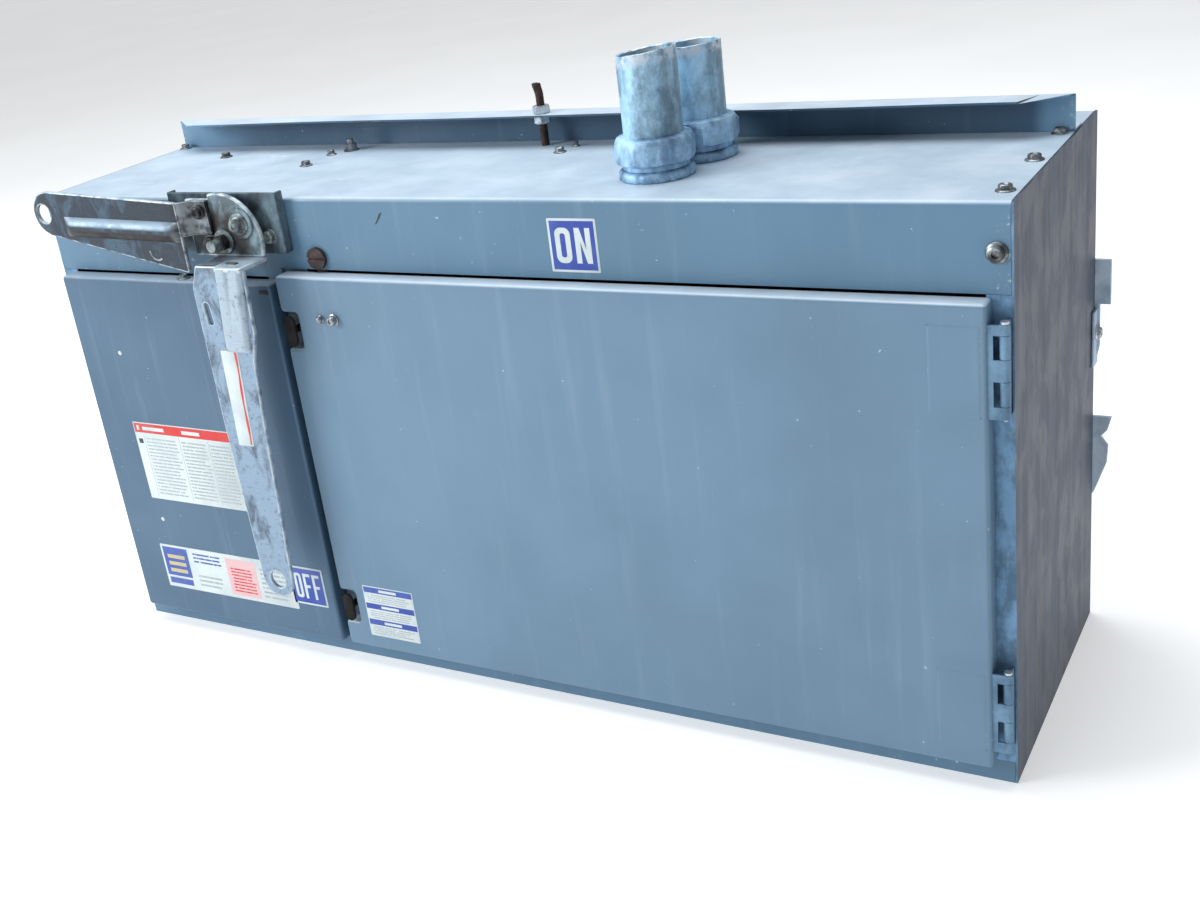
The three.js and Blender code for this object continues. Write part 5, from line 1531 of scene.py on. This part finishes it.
@dataclass
class Stickers:
    """Labels as thin sheets: stock, bars and rows of plain marks; no readable text but ON and OFF."""

    thick: float = 0.25
    warning: Area = (-470.0, -318.0, 179.0, 278.0)
    strip: Area = (-478.0, -272.0, 58.0, 116.0)
    notice: Area = (-171.0, -103.0, 42.0, 106.0)
    off_square: tuple[float, float, float] = (-276.0, 67.0, 49.0)
    on_square: tuple[float, float, float] = (120.0, 473.0, 51.0)

    def marks(self, left: float, right: float, low: float, high: float, lines: int, seed: int) -> np.ndarray:
        """Rows of plain dashes that stand for print.

        Args:
            left: left end.
            right: right end.
            low: foot.
            high: top.
            lines: how many rows.
            seed: number that fixes the draws.

        Returns:
            Spans for Cast.slabs.
        """
        draw = np.random.default_rng(seed)
        pitch = (high - low) / lines
        width = right - left
        cuts = np.sort(draw.uniform(0.0, 1.0, (lines, 6)), axis=1)
        starts = np.concatenate([np.zeros((lines, 1)), cuts + 0.02], axis=1)
        stops = np.concatenate([cuts, draw.uniform(0.8, 1.0, (lines, 1))], axis=1)
        z = high - (np.arange(lines)[:, None] + 0.7) * pitch + 0 * starts
        spans = np.stack(
            [
                left + starts * width,
                left + stops * width,
                z,
                z + 0.42 * pitch,
                z * 0 + self.thick - 0.05,
                z * 0 + self.thick + 0.06,
            ],
            -1,
        )
        spans = spans.reshape(-1, 6)
        return spans[spans[:, 1] - spans[:, 0] > 0.7]

    def block(self, left: float, right: float, low: float, high: float, layer: int = 0) -> np.ndarray:
        """One printed block; a higher layer lies on a lower one."""
        return np.array([[left, right, low, high, self.thick - 0.05, self.thick + 0.06 + 0.05 * layer]])

    def stock(
        self, cast: Cast, seat: Seat, left: float, right: float, low: float, high: float, dress: int = 0
    ) -> None:
        """The sheet itself, with rounded corners."""
        corners = [(left, low), (right, low), (right, high), (left, high)]
        rows = np.array([[0.12, -0.3, 0], [0, -0.2, 0], [0, self.thick - 0.05, 0], [0.1, self.thick, 0]])
        cast.plate(seat, [corners_rounded(corners, 1.2, 4)], rows, dress)

    def letter(
        self, cast: Cast, seat: Seat, which: str, left: float, low: float, wide: float, tall: float,
        dress: int,
    ) -> None:
        """One tall letter, O, N or F, cut as a thin sheet."""
        s = 0.29 * wide + 0.6
        r, t = left + wide, low + tall
        rows = film_rows(self.thick, self.thick + 0.02, self.thick + 0.14, self.thick + 0.16)
        if which == "O":
            loops = [corners_rounded([(left, low), (r, low), (r, t), (left, t)], 0.4 * wide, 7)]
            inside = [(left + s, low + s), (left + s, t - s), (r - s, t - s), (r - s, low + s)]
            loops.append(corners_rounded(inside, 0.14 * wide, 5))
        elif which == "N":
            path = [
                (left, low), (left + s, low), (left + s, low + 0.62 * tall), (r - s, low), (r, low),
                (r, t), (r - s, t), (r - s, low + 0.38 * tall), (left + s, t), (left, t),
            ]
            loops = [corners_rounded(path, 0.05, 2)]
        else:
            m = low + 0.44 * tall
            path = [
                (left, low), (left + s, low), (left + s, m), (r - 0.12 * wide, m),
                (r - 0.12 * wide, m + s), (left + s, m + s), (left + s, t - s), (r, t - s), (r, t),
                (left, t),
            ]
            loops = [corners_rounded(path, 0.05, 2)]
        cast.plate(seat, loops, rows, dress)

    def word(self, cast: Cast, seat: Seat, text: str, left: float, low: float, side: float) -> None:
        """A blue square in a pale border with its word."""
        self.stock(cast, seat, left, left + side, low, low + side)
        edge = 0.045 * side
        cast.slabs(seat, self.block(left + edge, left + side - edge, low + edge, low + side - edge), 1)
        pitch = (side - 4 * edge) / len(text)
        for k, which in enumerate(text):
            wide = 0.78 * pitch
            self.letter(
                cast, seat, which, left + 2 * edge + (k + 0.11) * pitch, low + 0.17 * side, wide,
                0.66 * side, 0,
            )

    def on_cover(self) -> None:
        """The warning sheet, the name strip and the OFF square."""
        low, _ = box_mm("switch_cover")
        seat = Seat(0, low[1], 0)
        cast = Cast()
        left, right, foot, top = self.warning
        self.stock(cast, seat, left, right, foot, top)
        cast.slabs(seat, self.block(left + 1, right - 1, top - 13, top - 1.2), 1)
        cast.slabs(seat, self.block(left + 14, left + 48, top - 9.6, top - 5.2, 1), 0)
        cast.slabs(seat, self.block(left + 76, left + 104, top - 9.6, top - 5.2, 1), 0)
        cast.slabs(seat, self.block(left + 5, left + 9, top - 10, top - 4, 1), 0)
        for k, (a, b) in enumerate(((16, 66), (72, 112), (116, 148))):
            cast.slabs(seat, self.marks(left + a, left + b, foot + 6, top - 18, 17, 11 + k), 2)
        cast.slabs(
            seat,
            np.vstack([self.block(left + x, left + x + 0.6, foot + 4, top - 15) for x in (13, 69, 114)]),
            2,
        )
        cast.slabs(seat, self.block(left + 4, left + 10.5, top - 27, top - 21), 3)
        cast.piece("warning_sheet", Body.BOX, [STOCK, INK_RED, INK_GREY, INK_BLACK])
        cast = Cast()
        left, right, foot, top = self.strip
        self.stock(cast, seat, left, right, foot, top)
        cast.slabs(seat, self.block(left + 3, left + 43, foot + 16, top - 3), 1)
        bars = np.vstack(
            [self.block(left + 9, left + 37, foot + 21 + 9.5 * k, foot + 26 + 9.5 * k, 1) for k in range(3)]
        )
        cast.slabs(seat, bars, 2)
        cast.slabs(seat, self.block(left + 4, left + 42, foot + 5, foot + 13), 1)
        cast.slabs(seat, self.marks(left + 52, left + 96, top - 20, top - 5, 3, 21), 3)
        cast.slabs(seat, self.marks(left + 54, left + 92, foot + 6, foot + 24, 3, 22), 4)
        cast.slabs(seat, self.block(left + 104, left + 150, foot + 4, top - 5), 5)
        on_pink = self.marks(left + 110, left + 146, foot + 8, top - 16, 8, 23)
        cast.slabs(seat, on_pink + np.array([0, 0, 0, 0, 0.05, 0.06]), 6)
        cast.slabs(seat, self.marks(left + 156, left + 198, foot + 6, top - 10, 7, 24), 4)
        cast.piece(
            "name_strip", Body.BOX, [STOCK, INK_BLUE, INK_YELLOW, INK_BLUE, INK_GREY, INK_PINK, INK_RED]
        )
        cast = Cast()
        self.word(cast, seat, "OFF", *self.off_square)
        cast.piece("off_square", Body.BOX, [STOCK, INK_BLUE])

    def on_hood(self) -> None:
        """The ON square on the band."""
        low, _ = box_mm("top_hood")
        cast = Cast()
        self.word(cast, Seat(0, low[1], 0), "ON", *self.on_square)
        cast.piece("on_square", Body.BOX, [STOCK, INK_BLUE])

    def on_door(self) -> None:
        """The notice: three blue bars with print between."""
        low, _ = box_mm("fuse_door")
        seat = Seat(0, low[1], 0)
        left, right, foot, top = self.notice
        cast = Cast()
        self.stock(cast, seat, left, right, foot, top)
        for k in range(3):
            head = top - 1.2 - 20.6 * k
            cast.slabs(seat, self.block(left + 1.2, right - 1.2, head - 7, head), 1)
            cast.slabs(seat, self.block(left + 22, right - 22, head - 5.2, head - 2.0, 1), 0)
            cast.slabs(seat, self.marks(left + 5, right - 5, head - 19.4, head - 8.6, 4, 31 + k), 2)
        cast.piece("door_notice", Body.DOOR, [STOCK, INK_BLUE, INK_GREY])

    def build(self) -> None:
        """Makes every sticker."""
        self.on_cover()
        self.on_hood()
        self.on_door()


@dataclass
class Hardware:
    """Screws and small marks that hold or sit on the box."""

    top_screws: tuple[tuple[float, float, float], ...] = (
        (526.0, -128.5, 8.2),
        (526.0, -30.5, 8.2),
        (526.0, 65.5, 7.6),
        (-530.0, 63.5, 7.4),
        (-420.0, 15.5, 7.4),
        (-262.0, -29.5, 7.4),
        (-265.0, 20.5, 6.0),
        (37.0, 18.5, 7.0),
        (42.0, 44.5, 4.4),
    )
    top_stud: tuple[float, float] = (-252.0, 41.5)
    band_screw_in: float = 10.7
    band_screw_up: float = 501.0
    cover_screw_x: float = -343.0
    dot_x: float = -461.0
    dot_heights: tuple[float, float] = (364.0, 151.0)
    small_stud_x: float = -153.0
    large_stud_x: float = -136.0
    stud_up: float = 420.0

    def on_top(self) -> None:
        """Hexagon screws on the hood and one bolt with a standing nut."""
        top = box_mm("top_hood")[1][2]
        cast = Cast()
        for k, (x, y, washer) in enumerate(self.top_screws):
            hex_screw(cast, Seat(x, y, top, Facing.TOP), washer * 1.25, washer, 5.6, 0.4 * k)
        stud = Seat(*self.top_stud, top, Facing.TOP)
        rows = [
            (0, 0, 0), (9.0, 0, 0), (9.0, 0, 1.4), (0, 13.0, 1.6), (0, 13.0, 7.2), (6.6, 13.0, 8.0),
            (4.0, 0, 8.0), (4.0, 0, 12.6), (3.2, 0, 13.2), (0, 0, 13.2),
        ]
        cast.turned(stud, rows, 48, 6, 0.2)
        cast.piece("hood_screws", Body.BOX, [STUD_ZINC])

    def on_band(self) -> None:
        """The band's socket screw."""
        low, high = box_mm("top_hood")
        cast = Cast()
        rows = [
            (0, 0, 3.2), (3.0, 0, 3.2), (3.4, 0, 6.6), (5.4, 0, 7.4), (6.8, 0, 6.6), (7.0, 0, 2.6),
            (8.6, 0, 2.0), (9.2, 0, 1.2), (9.2, 0, 0), (0, 0, 0),
        ]
        cast.turned(Seat(high[0] - self.band_screw_in, low[1], self.band_screw_up), rows, 48)
        cast.piece("band_screw", Body.BOX, [STUD_ZINC])

    def on_cover(self) -> None:
        """The cover's top screw and its two dots of paint."""
        cover_low, cover_high = box_mm("switch_cover")
        cast = Cast()
        seat = Seat(self.cover_screw_x, cover_low[1] + 10, cover_high[2], Facing.TOP)
        hex_screw(cast, seat, 9.0, 7.5, 5.0, 0.2)
        cast.piece("cover_screw", Body.BOX, [BOLT_STEEL])
        cast = Cast()
        for z in self.dot_heights:
            cast.turned(
                Seat(self.dot_x, cover_low[1], z),
                [(0, 0, -0.2), (2.6, 0, -0.2), (2.6, 0, 0.1), (1.6, 0, 0.5), (0, 0, 0.6)],
                20,
            )
        cast.piece("paint_dots", Body.BOX, [STOCK])

    def chip(self) -> None:
        """The dark chip in the band's paint."""
        cast = Cast()
        scratch = [
            (-78.0, 515.0),
            (-75.0, 516.0),
            (-69.5, 522.5),
            (-66.0, 528.5),
            (-70.5, 525.5),
            (-74.0, 519.5),
        ]
        cast.plate(
            Seat(0, box_mm("top_hood")[0][1], 0),
            [corners_rounded(scratch, 0.3, 3)],
            film_rows(-0.1, 0.0, 0.1, 0.12),
        )
        cast.piece("band_chip", Body.BOX, [INK_BLACK])

    def on_door(self) -> None:
        """The door's two studs."""
        door_low, _ = box_mm("fuse_door")
        cast = Cast()
        cast.turned(
            Seat(self.small_stud_x, door_low[1], self.stud_up),
            [
                (0, 0, 0), (4.2, 0, 0), (4.4, 0, 1.0), (0, 6.6, 1.4), (0, 6.6, 4.4), (3.0, 0, 5.0),
                (2.2, 0, 5.6), (0, 0, 5.8),
            ],
            36,
        )
        cast.turned(
            Seat(self.large_stud_x, door_low[1], self.stud_up),
            [
                (0, 0, 0), (6.2, 0, 0), (6.4, 0, 1.2), (5.2, 0, 1.8), (5.0, 0, 6.0), (4.0, 0, 7.2),
                (2.2, 0, 7.4), (1.8, 0, 6.2), (0, 0, 6.2),
            ],
            40,
        )
        cast.piece("door_studs", Body.DOOR, [STUD_ZINC])

    def clip(self) -> None:
        """The dark clip at the cover's upper corner."""
        cover_low, cover_high = box_mm("switch_cover")
        cast = Cast()
        clip = corners_rounded([(-6.5, -2.4), (6.5, -2.4), (6.5, 2.4), (-6.5, 2.4)], 2.0, 5)
        cast.plate(
            Seat(cover_high[0] - 7.6, cover_low[1], cover_high[2] - 8),
            [clip],
            bevel_rows(-0.3, 0.5, 0.25, 3, 0.2),
        )
        cast.piece("cover_clip", Body.BOX, [DARK_STEEL])

    def prints(self) -> None:
        """The faint marks that the hinges' welds press through the door."""
        door_low, door_high = box_mm("fuse_door")
        for row in ("upper", "lower"):
            low, high = box_mm(f"hinge_door_leaf_{row}")
            cast = Cast()
            print_mark = PressedForm(
                low[2] + 1,
                high[2] - 1,
                (low[0] - 2, low[0] - 2),
                (door_high[0] - 5, door_high[0] - 5),
                0.35,
                1.4,
            )
            print_mark.shape(cast, Seat(0, door_low[1], 0))
            cast.piece(f"weld_print_{row}", Body.DOOR, [LIT_DOOR_PAINT])

    def on_back(self) -> None:
        """The support bracket's bolt."""
        low, _ = box_mm("support_bracket")
        tab_face = box_mm("right_end_plate")[1][0] + 2.8
        cast = Cast()
        hex_screw(cast, Seat(tab_face, low[1] + 10.5, low[2] + 34, Facing.RIGHT), 10.0, 7.2, 5.4)
        cast.piece("rear_bolt", Body.BOX, [SCREW_ZINC])

    def build(self) -> None:
        """Makes all of it."""
        self.on_top()
        self.on_band()
        self.on_cover()
        self.chip()
        self.on_door()
        self.clip()
        self.prints()
        self.on_back()


@dataclass
class Fuses:
    """Three cartridge fuses: tube, caps with a rolled edge, flat ends."""

    cap: float = 27.0

    def build(self) -> None:
        """Each fuse is turned about its own length."""
        for pole in "abc":
            low, high = box_mm(f"fuse_{pole}")
            centre = (low + high) / 2
            half = (high[0] - low[0]) / 2
            body = half - 30.0
            r = (high[2] - low[2]) / 2
            seat = Seat(centre[0], centre[1], centre[2], Facing.RIGHT)
            cast = Cast()
            cast.turned(
                seat,
                [
                    (r - 2, 0, -body + self.cap - 1),
                    (r - 1.6, 0, -body + self.cap),
                    (r - 1.6, 0, body - self.cap),
                    (r - 2, 0, body - self.cap + 1),
                ],
                48,
            )
            for end in (-1, 1):
                rows = [
                    (0, 0, end * body),
                    (r - 2.5, 0, end * body),
                    (r - 0.6, 0, end * (body - 1.2)),
                    (r, 0, end * (body - 3)),
                    (r, 0, end * (body - self.cap + 3)),
                    (r - 0.5, 0, end * (body - self.cap + 1)),
                    (r - 2, 0, end * (body - self.cap)),
                ]
                cast.turned(seat, rows, 48, dress=1)
            flat = corners_rounded([(-half, -20.5), (half, -20.5), (half, 20.5), (-half, 20.5)], 3.0, 4)
            cast.plate(
                Seat(centre[0], centre[1], centre[2], Facing.TOP), [flat], bevel_rows(-3.2, 3.2, 0.6), 2
            )
            cast.piece(
                f"fuse_cartridge_{pole}",
                Body.BOX,
                [FUSE_TUBE, CAP_BRASS, COPPER],
                [f"fuse_{pole}"],
            )


def dress_the_rest() -> None:
    """Finishes for the CAD nodes that stay, and eased copies of the ones seen close."""
    redress(END_ZINC, "right_end_plate", "left_end_plate")
    redress(SHEET_ZINC, "back_wall", "centre_post")
    redress(PAINT, "bottom_pan")
    redress(BOLT_STEEL, "handle_shaft")
    redress(PIN_ZINC, "hinge_pin_upper", "hinge_pin_lower", "slide_bar", "crossbar_crank", "shaft_crank")
    redress(BOARD, "crossbar", "crossbar_bearing", "switch_board", "fuse_board")
    for row in ("upper", "lower"):
        softened(f"hinge_door_leaf_{row}", Body.DOOR, HINGE_ZINC, 0.35)
        softened(f"hinge_frame_leaf_{row}", Body.BOX, HINGE_ZINC, 0.35)
        softened(f"door_latch_{row}", Body(f"latch_{row}"), LATCH_RUST, 0.7)
    softened("release_screw", Body.RELEASE, OLD_BRASS, 0.6)
    for side in ("right", "left"):
        softened(f"plug_on_hook_{side}", Body.BOX, PLATE_ZINC, 0.7)
    softened("support_bracket", Body.BOX, PLATE_ZINC, 0.7)
    softened("ground_lug", Body.BOX, COPPER, 0.8)
    for pole in "abc":
        softened(f"blade_{pole}", Body.ROTOR, COPPER, 0.6)
        for node in ("line_jaw", "load_jaw", "load_lug"):
            softened(f"{node}_{pole}", Body.BOX, COPPER, 0.5)


def floor() -> None:
    """A pale floor under the box, one closed slab with a rolled rim."""
    cast = Cast()
    seat = Seat(0, 0, -3.0, Facing.TOP)
    wide, deep = 40000, -60
    rows = [(0, 0, 2.9), (wide - 200, 0, 2.9), (wide, 0, 2.0), (wide, 0, deep), (0, 0, deep)]
    cast.turned(seat, rows, 72)
    mesh = bpy.data.meshes.new("floor")
    mesh.from_pydata(np.vstack(cast.points) * MM, [], cast.faces)
    mesh.materials.append(Backing("floor").material())
    welded(mesh, reach=1e-5)
    placed("floor", mesh)


@dataclass
class Studio:
    """Soft light: a wide panel overhead, a broad one at the left front, pale surroundings."""

    surround: float = 0.36

    def lamp(
        self, name: str, place: tuple[float, float, float], aim: tuple[float, float, float],
        size: float, watts: float, hue: Colour,
    ) -> None:
        """One square panel that looks at a point.

        Args:
            name: the lamp's name.
            place: where it hangs, in metres.
            aim: what it looks at, in metres.
            size: its side.
            watts: its power.
            hue: its colour.
        """
        data = bpy.data.lights.new(name, "AREA")
        data.shape = "SQUARE"
        data.size = size
        data.energy = watts
        data.color = hue
        item = placed(name, data)
        item.location = place
        item.rotation_euler = (Vector(aim) - Vector(place)).to_track_quat("-Z", "Y").to_euler()

    def build(self) -> None:
        """Hangs the lamps and sets the surroundings."""
        self.lamp("sky_panel", (-0.5, 0.2, 3.4), (0.0, 0.0, 0.3), 2.6, 108.0, (0.93, 0.97, 1.0))
        self.lamp("front_panel", (-2.6, -2.3, 1.7), (-0.1, 0.0, 0.3), 1.3, 88.0, (0.95, 0.98, 1.0))
        world = bpy.data.worlds.new("surround")
        world.use_nodes = True
        sheet = world.node_tree.nodes["Background"]
        sheet.inputs[0].default_value = (0.92, 0.96, 1.0, 1.0)
        sheet.inputs[1].default_value = self.surround
        bpy.context.scene.world = world
        bpy.context.scene.view_settings.view_transform = "Standard"


def set_camera() -> None:
    """The camera, above and to the right of the front."""
    data = bpy.data.cameras.new("camera")
    data.sensor_width = 36.0
    data.lens = 43.76
    data.shift_x = 0.0414
    data.shift_y = -0.0041
    data.clip_end = 100.0
    camera = placed("camera", data)
    camera.location = (0.8102, -1.2761, 0.8496)
    camera.rotation_euler = tuple(math.radians(v) for v in (67.0697, 7.4643, 29.6992))
    bpy.context.scene.camera = camera


def main() -> None:
    """Builds everything."""
    logging.basicConfig(level=logging.INFO, format="%(name)s: %(message)s")
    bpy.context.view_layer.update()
    set_camera()
    Hood().build()
    Pan("switch_cover", Body.BOX, "cover", SHADED_COVER_PAINT).build()
    Door("fuse_door", Body.DOOR, "door", LIT_DOOR_PAINT).build()
    BuswayFlange().build()
    Handle().build()
    Conduit("front", slope=0.1, seed=0.3).build()
    Conduit("rear", slope=0.04, seed=1.7).build()
    HangerRod().build()
    Stickers().build()
    Hardware().build()
    Fuses().build()
    dress_the_rest()
    floor()
    Studio().build()


if __name__ == "__main__":
    main()
